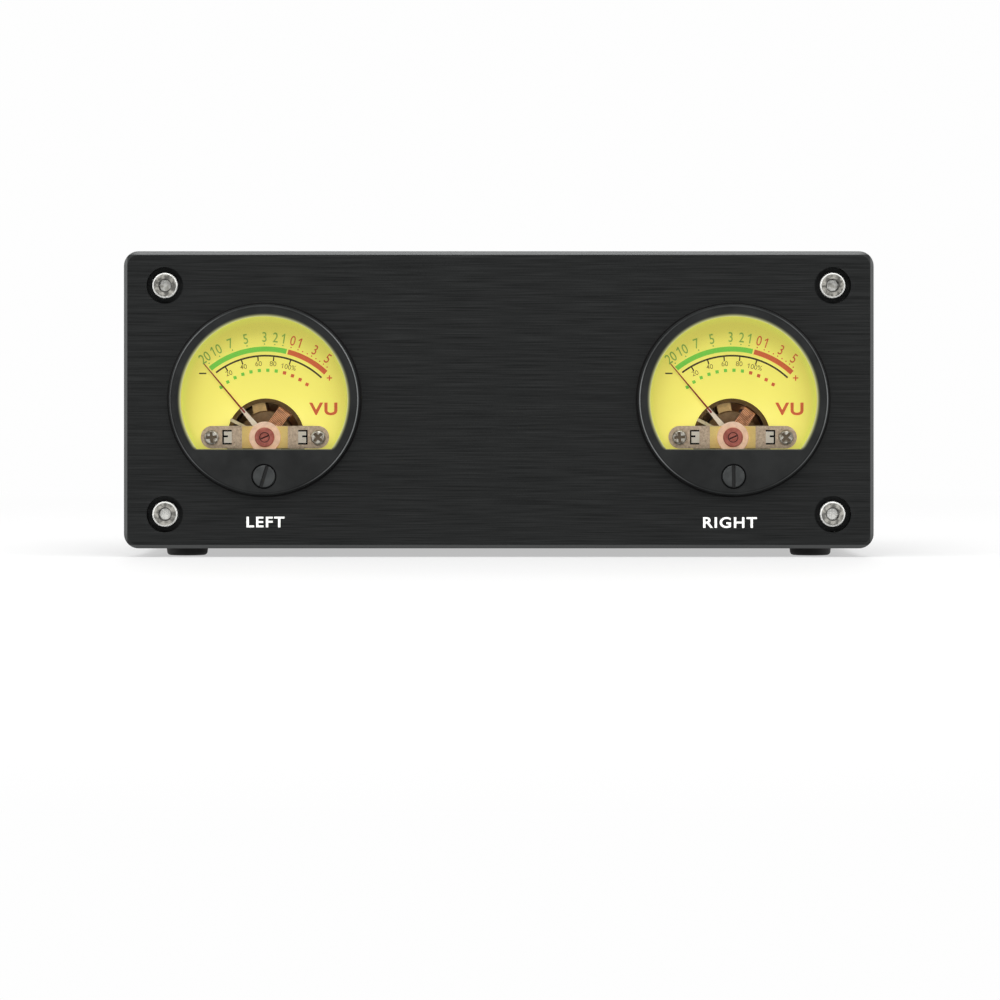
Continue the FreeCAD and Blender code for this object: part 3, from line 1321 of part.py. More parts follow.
def whole():
    """Every piece of the object, by name, in its place."""
    nodes = {
        "front_panel": front_panel(),
        "case_sleeve": case_sleeve(),
        "rear_panel": rear_panel(),
        "front_panel_screws": front_panel_screws(),
        "rear_panel_screws": rear_panel_screws(),
        "rubber_feet": rubber_feet(),
        "retaining_rings": retaining_rings(),
        "circuit_board": circuit_board(),
        "board_components": board_components(),
        "meter_wires": meter_wires(),
        "input_jack_shells": input_jack_shells(),
        "left_input_jack": input_jack(JACK_X["left"]),
        "right_input_jack": input_jack(JACK_X["right"]),
        "power_jack": power_jack(),
        "power_jack_pin": power_jack_pin(),
    }
    screws, tags, lamps, rings, strips = [], [], [], [], []
    for name, side in SIDES.items():
        to_meter = Vector(side * METER_X, 0, 0)
        pieces = {
            "bezel": bezel(),
            "lens": lens(),
            "housing": housing(),
            "scale_plate": scale_plate(),
            "bridge": bridge(),
            "jewel_screw": jewel_screw(),
            "zero_screw": zero_screw(ADJUST_SLOT_TILT[name]),
            "zero_arm": zero_arm(),
            "hairspring": hairspring(),
            "coil": coil(),
            "coil_frame": coil_frame(),
            "pointer_arm": pointer_arm(),
            "needle": needle(),
            "magnet_core": magnet_core(),
            "yoke_ring": yoke_ring(),
            "rear_frame": rear_frame(),
        }
        for piece, shape in pieces.items():
            nodes[f"{name}_{piece}"] = shape.translated(to_meter)
        rings.append(hub_ring().translated(to_meter))
        strips.append(insulator().translated(to_meter))
        screws += bridge_screws(side)
        tags += [tag.translated(to_meter) for tag in terminals()]
        lamps.append(lamp().translated(to_meter))
    nodes["bridge_screws"] = Part.makeCompound(screws)
    nodes["meter_terminals"] = Part.makeCompound(tags)
    nodes["meter_lamps"] = Part.makeCompound(lamps)
    nodes["hub_rings"] = Part.makeCompound(rings)
    nodes["bridge_insulators"] = Part.makeCompound(strips)
    placed = {name: shape.translated(Vector(0, FACE_Y, CENTRE_Z)) for name, shape in nodes.items()}
    return {**placed, **lead()}


def main():
    """Writes one STEP file for each piece."""
    os.makedirs("parts", exist_ok=True)
    for name, shape in whole().items():
        shape.exportStep(f"parts/{name}.step")
        closed = all(s.isValid() and s.isClosed() for s in shape.Solids)
        print(f"{name}: {len(shape.Solids)} solids, {shape.Volume:.1f} mm3, closed {closed}")


main()
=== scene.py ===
import math

import bmesh
import bpy
from mathutils import Matrix, Vector


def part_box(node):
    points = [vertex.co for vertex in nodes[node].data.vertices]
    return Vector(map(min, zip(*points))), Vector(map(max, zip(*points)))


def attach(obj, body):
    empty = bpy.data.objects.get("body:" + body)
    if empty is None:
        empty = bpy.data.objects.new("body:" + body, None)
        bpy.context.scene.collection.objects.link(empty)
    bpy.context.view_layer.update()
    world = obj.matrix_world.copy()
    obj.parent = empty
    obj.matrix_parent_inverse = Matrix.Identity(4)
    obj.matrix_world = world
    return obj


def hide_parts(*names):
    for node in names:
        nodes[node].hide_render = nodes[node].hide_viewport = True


# Looks of the twin VU meter. Metres, in the CAD model's frame:
# +X right and +Z up as seen from the front, +Y towards the back.

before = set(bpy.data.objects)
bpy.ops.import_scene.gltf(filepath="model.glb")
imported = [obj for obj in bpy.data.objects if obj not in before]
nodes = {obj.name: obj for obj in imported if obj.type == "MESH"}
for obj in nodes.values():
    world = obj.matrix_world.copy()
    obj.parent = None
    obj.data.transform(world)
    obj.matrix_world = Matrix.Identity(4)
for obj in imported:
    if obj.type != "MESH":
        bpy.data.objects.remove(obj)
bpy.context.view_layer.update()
MM = 0.001

# Camera: straight in front of the panel, framed as in the photograph
PICTURE = 1000
PANEL_PX = (498.8, 399.8)
PX_PER_M = 4576.0
CAMERA_DISTANCE = 0.9
SENSOR = 36.0

panel_low, panel_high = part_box("front_panel")
PANEL_FACE = panel_low.y
PANEL_Z = (panel_low.z + panel_high.z) / 2


def make_camera():
    data = bpy.data.cameras.new("camera")
    data.sensor_width = SENSOR
    data.lens = SENSOR * CAMERA_DISTANCE * PX_PER_M / PICTURE
    data.shift_x = (PICTURE / 2 - PANEL_PX[0]) / PICTURE
    data.shift_y = (PANEL_PX[1] - PICTURE / 2) / PICTURE
    data.clip_start = 0.01
    data.clip_end = 20.0
    camera = bpy.data.objects.new("camera", data)
    camera.location = (0, PANEL_FACE - CAMERA_DISTANCE, PANEL_Z)
    camera.rotation_euler = (math.pi / 2, 0, 0)
    bpy.context.scene.collection.objects.link(camera)
    bpy.context.scene.camera = camera


make_camera()
bpy.context.scene.view_settings.view_transform = "Standard"

# The lead's route, as in the CAD source: down from the power plug, then the tied hank
CORD_DIAMETER = 3.5 * MM
CORD_START = [
    (45.0, 64.55, 23.9),
    (45.0, 77.0, 23.9),
    (43.0, 89.0, 16.5),
    (34.0, 95.5, 6.0),
    (20.5, 98.2, 2.55),
]
HANK_CENTRE = (-26.0, 78.0)
HANK_REACH = 31.5
HANK_HALF_W = 20.2
HANK_LOOPS = 4
HANK_STEP = 5.1
HANK_DRAWN_IN = 11.8
HANK_LOW = 2.55
HANK_LAYER = 3.95
CORD_END = [(5.5, 55.25, 4.0), (17.5, 55.25, 4.0)]


def hank_points():
    """Control points of the hank in millimetres: four to each run and four to each turn at its end."""
    runs = 2 * HANK_LOOPS
    back = runs // 2
    bend = (HANK_REACH**2 + HANK_DRAWN_IN**2) / (4 * HANK_REACH)
    corner = math.tan(math.pi / 8)

    def offset(n):
        return HANK_HALF_W - HANK_STEP / 2 * (n if n < back else 2 * (back - 1) - n)

    points = []
    for n in range(runs):
        side = 1 if n % 2 == 0 else -1
        z0 = HANK_LOW if n < back else HANK_LOW + HANK_LAYER
        z1 = HANK_LOW if n < back - 1 else HANK_LOW + HANK_LAYER
        if n == runs - 1:
            z1 = CORD_END[0][2]
        waist = offset(n) - HANK_DRAWN_IN
        for u, v, share in (
            (HANK_REACH - bend, offset(n), 0.0),
            (bend, waist, 0.5),
            (-bend, waist, 0.5),
            (bend - HANK_REACH, offset(n), 1.0),
        ):
            points.append((side * u, side * v, z0 + (z1 - z0) * share))
        if n < runs - 1:
            r = (offset(n) + offset(n + 1)) / 2
            middle = (offset(n) - offset(n + 1)) / 2
            for out, across in ((corner, 1), (1, corner), (1, -corner), (corner, -1)):
                points.append((-side * (HANK_REACH + r * out), side * (middle + r * across), z1))
    return [(HANK_CENTRE[0] + x, HANK_CENTRE[1] + y, z) for x, y, z in points]


def as_mesh(obj):
    """The mesh that an object shows, as a copy."""
    bpy.context.view_layer.update()
    return bpy.data.meshes.new_from_object(obj.evaluated_get(bpy.context.evaluated_depsgraph_get()))


def make_cord():
    """The whole lead, one smooth tube from plug to plug."""
    points = CORD_START + hank_points() + CORD_END
    curve = bpy.data.curves.new("route", "CURVE")
    curve.dimensions = "3D"
    curve.resolution_u = 8
    spline = curve.splines.new("NURBS")
    spline.points.add(len(points) - 1)
    for point, place in zip(spline.points, points):
        point.co = (*[value * MM for value in place], 1)
    spline.order_u = 3
    spline.use_endpoint_u = True
    route = bpy.data.objects.new("route", curve)
    bpy.context.scene.collection.objects.link(route)
    line = as_mesh(route)
    curve.bevel_depth = CORD_DIAMETER / 2
    curve.bevel_resolution = 6
    curve.use_fill_caps = True
    tube = as_mesh(route)
    bpy.data.objects.remove(route)
    tube.name = "lead"
    for polygon in tube.polygons:
        polygon.use_smooth = True
    cord = bpy.data.objects.new("lead", tube)
    bpy.context.scene.collection.objects.link(cord)
    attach(cord, "root")
    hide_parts("lead_cord", "lead_hank")
    return cord


cord = make_cord()


def srgb(red, green, blue):
    """A colour in 0 to 255 steps, as the shader's linear values."""
    linear = []
    for value in (red, green, blue):
        c = value / 255
        linear.append(c / 12.92 if c <= 0.04045 else ((c + 0.055) / 1.055) ** 2.4)
    return (*linear, 1.0)


# Places that the looks share with the CAD model
bezel_low, bezel_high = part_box("right_bezel")
METER_X = (bezel_low.x + bezel_high.x) / 2
METER_Z = (bezel_low.z + bezel_high.z) / 2
BEZEL_R = (bezel_high.x - bezel_low.x) / 2
bridge_low, bridge_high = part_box("right_bridge")
HUB_Z = (bridge_low.z + bridge_high.z) / 2
BRIDGE_FACE = bridge_low.y
DIAL_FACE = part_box("right_scale_plate")[0].y
JEWEL_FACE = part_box("right_jewel_screw")[0].y
ADJUST_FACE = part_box("right_zero_screw")[0].y
BRIDGE_SCREW_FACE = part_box("bridge_screws")[0].y
BRIDGE_T = 0.8 * MM
WINDOW_R = 18.2 * MM
SKIRT_TOP = METER_Z - 10.75 * MM
PANEL_EDGE = 0.85 * MM
PANEL_SCREW_R = 2.75 * MM
screws_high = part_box("front_panel_screws")[1]
PANEL_SCREW_X = screws_high.x - PANEL_SCREW_R
PANEL_SCREW_Z = screws_high.z - PANEL_SCREW_R - PANEL_Z


class Finish:
    """One surface finish: a Principled shader, and calls that add colour, gloss and relief."""

    def __init__(self, name, colour, roughness, metallic=0.0, **sockets):
        self.material = bpy.data.materials.new(name)
        self.material.use_nodes = True
        self.tree = self.material.node_tree
        self.shader = self.tree.nodes["Principled BSDF"]
        self.output = self.tree.nodes["Material Output"]
        self.set(self.shader, "Base Color", colour)
        self.set(self.shader, "Roughness", roughness)
        self.set(self.shader, "Metallic", metallic)
        for label, value in sockets.items():
            self.set(self.shader, label.replace("_", " "), value)
        self.place = self.node("ShaderNodeTexCoord").outputs["Object"]

    def set(self, node, label, value):
        """Sets a socket, or links it where the value is another node's output."""
        if isinstance(value, bpy.types.NodeSocket):
            self.tree.links.new(value, node.inputs[label])
        else:
            node.inputs[label].default_value = value

    def node(self, kind, **sockets):
        made = self.tree.nodes.new(kind)
        for label, value in sockets.items():
            self.set(made, label.replace("_", " "), value)
        return made

    def math(self, operation, first, second=0.0):
        made = self.tree.nodes.new("ShaderNodeMath")
        made.operation = operation
        self.set(made, 0, first)
        self.set(made, 1, second)
        return made.outputs[0]

    def stretched(self, size):
        """Object coordinates divided by a size in metres along each axis."""
        made = self.tree.nodes.new("ShaderNodeVectorMath")
        made.operation = "DIVIDE"
        self.set(made, 0, self.place)
        made.inputs[1].default_value = size
        return made.outputs[0]

    def noise(self, size, detail=3.0, roughness=0.55):
        """Soft noise with features of that size in metres, given for all axes or for each."""
        if not hasattr(size, "__len__"):
            size = (size, size, size)
        made = self.node("ShaderNodeTexNoise", Vector=self.stretched(size), Scale=1.0)
        self.set(made, "Detail", detail)
        self.set(made, "Roughness", roughness)
        return made.outputs["Fac"]

    def streaks(self, along, width, length):
        """Noise drawn out along one axis, as brushing leaves it."""
        size = [width] * 3
        size[along] = length
        return self.noise(size, 2.0)

    def span(self, value, low, high, to_low=0.0, to_high=1.0):
        """Maps low..high onto another range, clamped."""
        made = self.tree.nodes.new("ShaderNodeMapRange")
        for label, number in (
            ("Value", value),
            ("From Min", low),
            ("From Max", high),
            ("To Min", to_low),
            ("To Max", to_high),
        ):
            self.set(made, label, number)
        return made.outputs["Result"]

    def mixed(self, share, first, second):
        """A colour between two others. Sockets 6 and 7 of a Mix node are its two colours."""
        made = self.tree.nodes.new("ShaderNodeMix")
        made.data_type = "RGBA"
        self.set(made, 0, share)
        self.set(made, 6, first)
        self.set(made, 7, second)
        return made.outputs[2]

    def colours(self, share, first, second):
        """Base colour that goes from one colour to another with a pattern."""
        mixed = self.mixed(share, first, second)
        self.set(self.shader, "Base Color", mixed)
        return mixed

    def gloss(self, value, low, high):
        """Roughness that goes from low to high with a pattern."""
        self.set(self.shader, "Roughness", self.span(value, 0.3, 0.7, low, high))

    def relief(self, value, depth, strength=1.0):
        """Relief of a depth in metres. A second call adds its relief to the first."""
        bump = self.node("ShaderNodeBump", Height=value, Distance=depth, Strength=strength)
        if self.shader.inputs["Normal"].is_linked:
            self.set(bump, "Normal", self.shader.inputs["Normal"].links[0].from_socket)
        self.set(self.shader, "Normal", bump.outputs[0])

    def axis(self, index):
        """One object coordinate."""
        return self.node("ShaderNodeSeparateXYZ", Vector=self.place).outputs[index]

    def sunk(self, face, depths):
        """0 on a face that looks to the front, and 1 below it. The change lies between two depths."""
        return self.span(self.axis(1), face + depths[0], face + depths[1])

    def length(self, first, second):
        """The length of a flat vector with these two parts."""
        squares = [self.math("MULTIPLY", value, value) for value in (first, second)]
        return self.math("SQRT", self.math("ADD", *squares))

    def mirrored(self, value, middle, reach):
        """How far a value is from the nearer of two places, each at a reach from the middle."""
        from_middle = self.math("ABSOLUTE", self.math("SUBTRACT", value, middle))
        return self.math("SUBTRACT", from_middle, reach)

    def blend(self, share, first, second):
        """Makes the surface of two shaders, the first at a share of 0 and the second at 1."""
        mix = self.node("ShaderNodeMixShader", Fac=share)
        self.set(mix, 1, first.outputs[0])
        self.set(mix, 2, second.outputs[0])
        self.set(self.output, "Surface", mix.outputs[0])

    def thin(self, share, tint):
        """Shows the finish by a share, and what lies behind it for the rest."""
        self.blend(share, self.node("ShaderNodeBsdfTransparent", Color=tint), self.shader)

    def from_meter(self):
        """Distance from the nearer meter's axis."""
        across = self.mirrored(self.axis(0), 0.0, METER_X)
        return self.length(across, self.math("SUBTRACT", self.axis(2), METER_Z))


# Brushing: the width and length of its fine and its broad streaks, and the fine ones' share
FINE_STREAK = (0.16 * MM, 14 * MM)
BROAD_STREAK = (0.4 * MM, 40 * MM)
FINE_SHARE = 0.8


def brushed(name, dark, light, along, roughness, edge=None):
    """Anodised aluminium brushed along X (0) or Y (1), with a painted highlight on the chamfers if its
    colour is given.
    """
    finish = Finish(name, dark, roughness, 0.85, Specular_IOR_Level=0.3)
    fine = finish.streaks(along, *FINE_STREAK)
    broad = finish.streaks(along, *BROAD_STREAK)
    fine_part = finish.math("MULTIPLY", fine, FINE_SHARE)
    both = finish.math("ADD", fine_part, finish.math("MULTIPLY", broad, 1 - FINE_SHARE))
    face = finish.colours(finish.span(both, 0.36, 0.66), dark, light)
    # Painted highlight: the chamfers get a lighter colour for the light they catch
    if edge:
        finish.colours(panel_chamfer(finish), face, edge)
    finish.gloss(both, roughness - 0.04, roughness + 0.06)
    finish.relief(fine, 0.000008, 0.4)
    return finish.material


# The front panel's chamfer, which carries a painted highlight: how softly it starts, and the depth where it
# ends
CHAMFER_BLUR = 0.15 * MM
CHAMFER_END = (PANEL_FACE + PANEL_EDGE, PANEL_FACE + 1.1 * PANEL_EDGE)


def panel_chamfer(finish):
    """1 on the front panel's chamfered edges and 0 elsewhere."""
    reaches = (panel_high.x - PANEL_EDGE, (panel_high.z - panel_low.z) / 2 - PANEL_EDGE)
    sides = (finish.axis(0), finish.math("SUBTRACT", finish.axis(2), PANEL_Z))
    near = [
        finish.span(finish.math("ABSOLUTE", side), reach, reach + CHAMFER_BLUR)
        for side, reach in zip(sides, reaches)
    ]
    front = finish.span(finish.axis(1), *CHAMFER_END, 1.0, 0.0)
    return finish.math("MULTIPLY", finish.math("MAXIMUM", *near), front)


def plated(name, colour, roughness, metallic=1.0):
    """Bright plated metal with faint marks."""
    finish = Finish(name, colour, roughness, metallic)
    marks = finish.noise(0.0009, 4.0)
    shade = tuple(value * 0.82 for value in colour[:3]) + (1.0,)
    finish.colours(finish.span(marks, 0.35, 0.65), shade, colour)
    finish.gloss(marks, roughness, roughness + 0.08)
    finish.relief(finish.noise(0.0008, 2.0), 0.000003, 0.3)
    return finish.material


def moulded(name, colour, roughness, grain=0.00022, depth=0.000012, **sockets):
    """Moulded plastic or rubber: fine grain over a slow change of gloss."""
    finish = Finish(name, colour, roughness, **sockets)
    slow = finish.noise(0.006, 3.0)
    lift = tuple(min(1.0, value * 1.35 + 0.0015) for value in colour[:3]) + (1.0,)
    finish.colours(finish.span(slow, 0.35, 0.65), colour, lift)
    finish.gloss(slow, roughness - 0.04, roughness + 0.06)
    finish.relief(finish.noise(grain, 2.0), depth, 0.6)
    return finish.material


# The dial's painted backlight: heights from the meter's axis, distances to its sides and radii at its edge,
# where its painted brightness and tint change, and the strength of its glow
DIAL_LOW = (-9 * MM, 1 * MM)
DIAL_HIGH = (1 * MM, 16 * MM)
DIAL_SIDE = (8 * MM, 17 * MM)
DIAL_EDGE = (16.8 * MM, WINDOW_R)
DIAL_GLOW = 0.63


def dial_finish():
    """Yellow printed dial with its backlight painted in: it glows by emission, and its colour is painted
    brightest low in the middle, darker towards the top and sides, and greener at the edge.
    """
    finish = Finish("dial_yellow", srgb(236, 224, 96), 0.55)
    up = finish.math("SUBTRACT", finish.axis(2), METER_Z)
    low = finish.mixed(finish.span(up, *DIAL_LOW), srgb(251, 241, 130), srgb(240, 230, 108))
    paper_with_painted_backlight = finish.mixed(finish.span(up, *DIAL_HIGH), low, srgb(214, 206, 92))
    from_middle = finish.math("ABSOLUTE", finish.mirrored(finish.axis(0), 0.0, METER_X))
    painted_side_shade = finish.math("MULTIPLY", finish.span(from_middle, *DIAL_SIDE), 0.7)
    paper_with_painted_backlight = finish.mixed(painted_side_shade, paper_with_painted_backlight, srgb(216, 205, 92))
    paper_with_painted_backlight = finish.mixed(finish.span(finish.from_meter(), *DIAL_EDGE), paper_with_painted_backlight, srgb(214, 214, 96))
    finish.set(finish.shader, "Base Color", paper_with_painted_backlight)
    # Painted backlight: the dial glows by emission in its painted colour
    finish.set(finish.shader, "Emission Color", paper_with_painted_backlight)
    finish.set(finish.shader, "Emission Strength", DIAL_GLOW)
    finish.relief(finish.noise(0.00012), 0.000004, 0.4)
    return finish.material


# The bezel's painted highlight line: radii of its inner and outer edge, and the height where it fades
LINE_INNER = (20.3 * MM, 20.42 * MM)
LINE_OUTER = (20.5 * MM, 20.65 * MM)
LINE_FADE = (12 * MM, 19 * MM)
# Its dull rim, and the window's edge and sleeve where the dial's glow is painted on
DULL_RIM = (20.0 * MM, 20.3 * MM)
WINDOW_GLOW = (WINDOW_R, WINDOW_R + 0.75 * MM)
SLEEVE_R = (19.0 * MM, 19.2 * MM)
SLEEVE_BACK = (DIAL_FACE - 1.5 * MM, DIAL_FACE - 1.0 * MM)
ABOVE_SKIRT = (SKIRT_TOP - 0.2 * MM, SKIRT_TOP + 0.6 * MM)


def painted_rim_highlight(finish, away):
    """How much of the painted highlight line shows on the bezel: in patches, and less towards its top and
    bottom.
    """
    line = finish.math("SUBTRACT", finish.span(away, *LINE_INNER), finish.span(away, *LINE_OUTER))
    height = finish.math("ABSOLUTE", finish.math("SUBTRACT", finish.axis(2), METER_Z))
    patches = finish.span(finish.noise(0.03, 1.0), 0.4, 0.6, 0.25, 1.0)
    lit = finish.math("MULTIPLY", patches, finish.span(height, *LINE_FADE, 1.0, 0.1))
    return finish.math("MULTIPLY", line, lit)


def window_glow(finish, away):
    """How much painted glow, standing for the dial's light, lies on the window's edge and on the sleeve
    behind it.
    """
    edge = finish.span(away, *WINDOW_GLOW, 1.0, 0.0)
    behind = finish.span(finish.axis(1), *SLEEVE_BACK)
    sleeve = finish.math("MULTIPLY", behind, finish.span(away, *SLEEVE_R, 1.0, 0.0))
    both = finish.math("MAXIMUM", finish.math("MULTIPLY", edge, edge), sleeve)
    return finish.math("MULTIPLY", both, finish.span(finish.axis(2), *ABOVE_SKIRT))


def bezel_finish():
    """Satin black ring with a painted highlight line near its rim and the dial's glow painted on the
    window's edge.
    """
    finish = Finish("bezel_black", srgb(24, 25, 25), 0.45)
    slow = finish.noise(0.006, 3.0)
    black = finish.mixed(finish.span(slow, 0.35, 0.65), srgb(24, 25, 25), srgb(31, 32, 32))
    away = finish.from_meter()
    # Painted highlight: the lighter line near the rim stands for the light its rounded edge catches
    finish.colours(painted_rim_highlight(finish, away), black, srgb(104, 106, 106))
    finish.set(finish.shader, "Specular IOR Level", finish.span(away, *DULL_RIM, 0.12, 0.03))
    finish.gloss(slow, 0.42, 0.52)
    finish.set(finish.shader, "Emission Color", srgb(208, 209, 146))
    finish.set(finish.shader, "Emission Strength", finish.math("MULTIPLY", window_glow(finish, away), 0.9))
    finish.relief(finish.noise(0.00025, 2.0), 0.000015, 0.6)
    return finish.material


# The housing's rim, by its radii and by the depth where its painted glow ends
HOUSING_RIM = (18.0 * MM, 18.15 * MM)
HOUSING_RIM_END = (DIAL_FACE + 3 * MM, DIAL_FACE + 4 * MM)


def housing_finish():
    """Brown moulded cup. The rim that holds the dial's edge shows the lamp's light as a painted glow."""
    brown = srgb(84, 62, 38)
    finish = Finish("housing_brown", brown, 0.5)
    slow = finish.noise(0.006, 3.0)
    finish.colours(finish.span(slow, 0.35, 0.65), brown, srgb(98, 74, 46))
    finish.gloss(slow, 0.46, 0.56)
    outer = finish.span(finish.from_meter(), *HOUSING_RIM)
    rim = finish.math("MULTIPLY", outer, finish.span(finish.axis(1), *HOUSING_RIM_END, 1.0, 0.0))
    finish.set(finish.shader, "Emission Color", srgb(216, 205, 92))
    finish.set(finish.shader, "Emission Strength", finish.math("MULTIPLY", rim, 0.8))
    finish.relief(finish.noise(0.00022, 2.0), 0.000012, 0.6)
    return finish.material


# A panel screw's head: radii where its socket, the socket's wall and the flat face end
SOCKET_R = (1.15 * MM, 1.28 * MM)
SOCKET_WALL_R = (1.42 * MM, 1.55 * MM)
SCREW_FACE_R = (2.4 * MM, 2.52 * MM)


def socket_screw_finish():
    """Bright socket screw with its reflections painted in: a painted highlight on the thin rim, a duller
    face, a painted bright reflection in the socket and painted shade on its walls.
    """
    finish = Finish("screw_nickel", srgb(236, 234, 226), 0.2, 0.4)
    across = finish.mirrored(finish.axis(0), 0.0, PANEL_SCREW_X)
    away = finish.length(across, finish.mirrored(finish.axis(2), PANEL_Z, PANEL_SCREW_Z))
    patches = finish.noise(0.0011, 2.0)
    face = finish.mixed(finish.span(patches, 0.42, 0.58), srgb(96, 95, 91), srgb(160, 158, 151))
    # Painted reflection in the socket, painted shade on its walls and a painted highlight on the rim
    socket = finish.mixed(finish.span(patches, 0.36, 0.5), srgb(214, 212, 204), srgb(255, 255, 250))
    socket_with_wall_shade = finish.mixed(finish.span(away, *SOCKET_R), socket, srgb(62, 61, 58))
    inside = finish.mixed(finish.span(away, *SOCKET_WALL_R), socket_with_wall_shade, face)
    finish.colours(finish.span(away, *SCREW_FACE_R), inside, srgb(250, 250, 246))
    finish.gloss(patches, 0.16, 0.3)
    finish.relief(finish.noise(0.00025), 0.000006, 0.35)
    return finish.material


# Depths below a face where a recess's painted colour starts and where it is full: painted shade in the
# cross, the jewel's groove and the adjuster's slot, and a painted highlight on the bridge's tongues
CROSS_DEPTH = (0.45 * MM, 0.6 * MM)
JEWEL_DEPTH = (0.12 * MM, 0.25 * MM)
ADJUSTER_DEPTH = (0.25 * MM, 0.5 * MM)
SLOT_DEPTH = (0.2 * MM, 0.28 * MM)
JEWEL_GROOVE_R = (1.25 * MM, 1.35 * MM)


def cross_screw_finish():
    """Small bright screw with painted shade in its cross recess."""
    finish = Finish("small_screw_nickel", srgb(244, 236, 220), 0.18, 0.35)
    patches = finish.noise(0.0007, 2.0)
    head = finish.mixed(finish.span(patches, 0.4, 0.56), srgb(176, 164, 146), srgb(255, 250, 238))
    finish.colours(finish.sunk(BRIDGE_SCREW_FACE, CROSS_DEPTH), head, srgb(136, 120, 100))
    finish.gloss(patches, 0.14, 0.28)
    finish.relief(patches, 0.00002, 0.4)
    return finish.material


def jewel_finish():
    """Red bearing cap, with painted shade in the groove and slot of the screw at its middle."""
    finish = Finish("jewel_red", srgb(216, 116, 98), 0.36)
    slow = finish.noise(0.0012, 3.0)
    face = finish.mixed(finish.span(slow, 0.35, 0.65), srgb(196, 100, 84), srgb(226, 126, 108))
    across = finish.mirrored(finish.axis(0), 0.0, METER_X)
    away = finish.length(across, finish.math("SUBTRACT", finish.axis(2), HUB_Z))
    middle = finish.span(away, *JEWEL_GROOVE_R, 1.0, 0.0)
    painted_groove_shade = finish.math("MULTIPLY", finish.sunk(JEWEL_FACE, JEWEL_DEPTH), middle)
    finish.colours(painted_groove_shade, face, srgb(92, 40, 34))
    finish.gloss(slow, 0.32, 0.44)
    finish.relief(finish.noise(0.0003, 2.0), 0.00003, 0.6)
    return finish.material


def adjuster_finish():
    """Satin black slotted screw with painted shade in its slot."""
    finish = Finish("zero_screw_black", srgb(38, 40, 40), 0.34, Specular_IOR_Level=0.4)
    slow = finish.noise(0.002, 3.0)
    head = finish.mixed(finish.span(slow, 0.35, 0.65), srgb(36, 38, 38), srgb(46, 48, 48))
    finish.colours(finish.sunk(ADJUST_FACE, ADJUSTER_DEPTH), head, srgb(12, 13, 13))
    finish.gloss(slow, 0.3, 0.42)
    finish.relief(finish.noise(0.00022, 2.0), 0.000012, 0.6)
    return finish.material


# The lens shines up to here. Its edge behind the bezel doesn't.
SHINE_END = (WINDOW_R + 0.15 * MM, WINDOW_R + 0.3 * MM)


def lens_finish():
    """Clear window: seen through, with a reflection that grows towards grazing angles."""
    finish = Finish("clear_lens", (0.02, 0.02, 0.02, 1), 0.03)
    finish.relief(finish.noise(0.008, 1.0), 0.00001, 0.2)
    shine = finish.node("ShaderNodeFresnel", IOR=1.49)
    inside = finish.span(finish.from_meter(), *SHINE_END, 1.0, 0.0)
    finish.thin(finish.math("MULTIPLY", shine.outputs[0], inside), (0.99, 0.99, 0.985, 1))
    return finish.material


def see_through(name, colour, share, roughness, glow=0.0):
    """Tinted clear plastic, a share of it plain see-through, which may carry the lamp's light as a painted
    glow.
    """
    finish = Finish(name, colour, roughness, Emission_Color=colour, Emission_Strength=glow)
    finish.relief(finish.noise(0.0006), 0.00001, 0.4)
    solid = 1 - share
    finish.thin(finish.span(finish.noise(0.0015), 0.3, 0.7, solid - 0.1, solid + 0.1), (1, 0.95, 0.92, 1))
    return finish.material


def hammered_finish():
    """Nickel strip with a dappled, warm grey face and a painted highlight on the tongues in its slots."""
    finish = Finish("hammered_nickel", srgb(200, 178, 152), 0.35, 0.15)
    dapple = finish.noise(0.0006, 4.0, 0.65)
    face = finish.mixed(finish.span(dapple, 0.34, 0.66), srgb(208, 180, 152), srgb(248, 226, 198))
    finish.colours(finish.sunk(BRIDGE_FACE, SLOT_DEPTH), face, srgb(252, 244, 228))
    finish.gloss(dapple, 0.26, 0.42)
    finish.relief(dapple, 0.00003, 0.5)
    return finish.material


# The coil's wires: the tilt of their rows in degrees, and the step from wire to wire
COIL_TILT = 37.0
WIRE_PITCH = 0.3 * MM


def wound_finish():
    """Enamelled copper wire, turn beside turn, running out from the hub across the coil's end, with a
    painted highlight on each turn, painted shade between turns and a painted glow.
    """
    finish = Finish("copper_winding", srgb(228, 160, 118), 0.3, 0.4, Coat_Weight=0.5, Coat_Roughness=0.15)
    turn = math.radians(COIL_TILT)
    along_x = finish.math("MULTIPLY", finish.axis(0), math.cos(turn))
    along_z = finish.math("MULTIPLY", finish.axis(2), math.sin(turn))
    across = finish.math("SUBTRACT", along_x, along_z)
    wobble = finish.math("MULTIPLY", finish.noise(0.002, 2.0), 2.0)
    phase = finish.math("ADD", finish.math("MULTIPLY", across, 2 * math.pi / WIRE_PITCH), wobble)
    wires = finish.math("SINE", phase)
    patches = finish.span(finish.noise(0.0012, 2.0), 0.3, 0.55, 0.35, 1.0)
    # Painted highlight along each wire and painted shade between the wires
    shade = finish.math("MULTIPLY", finish.span(wires, -0.9, 0.5), patches)
    copper = finish.colours(shade, srgb(112, 58, 36), srgb(255, 190, 142))
    # Painted glow: the copper shines a little by emission, though it is no lamp
    finish.set(finish.shader, "Emission Color", copper)
    finish.set(finish.shader, "Emission Strength", 0.25)
    finish.relief(wires, 0.00004, 0.8)
    return finish.material


def emitting(name, colour, strength):
    """A lamp's plastic, which shines in its own colour."""
    finish = Finish(name, colour, 0.4, Emission_Color=colour, Emission_Strength=strength)
    finish.gloss(finish.noise(0.001), 0.35, 0.5)
    finish.relief(finish.noise(0.0004), 0.00001, 0.4)
    return finish.material


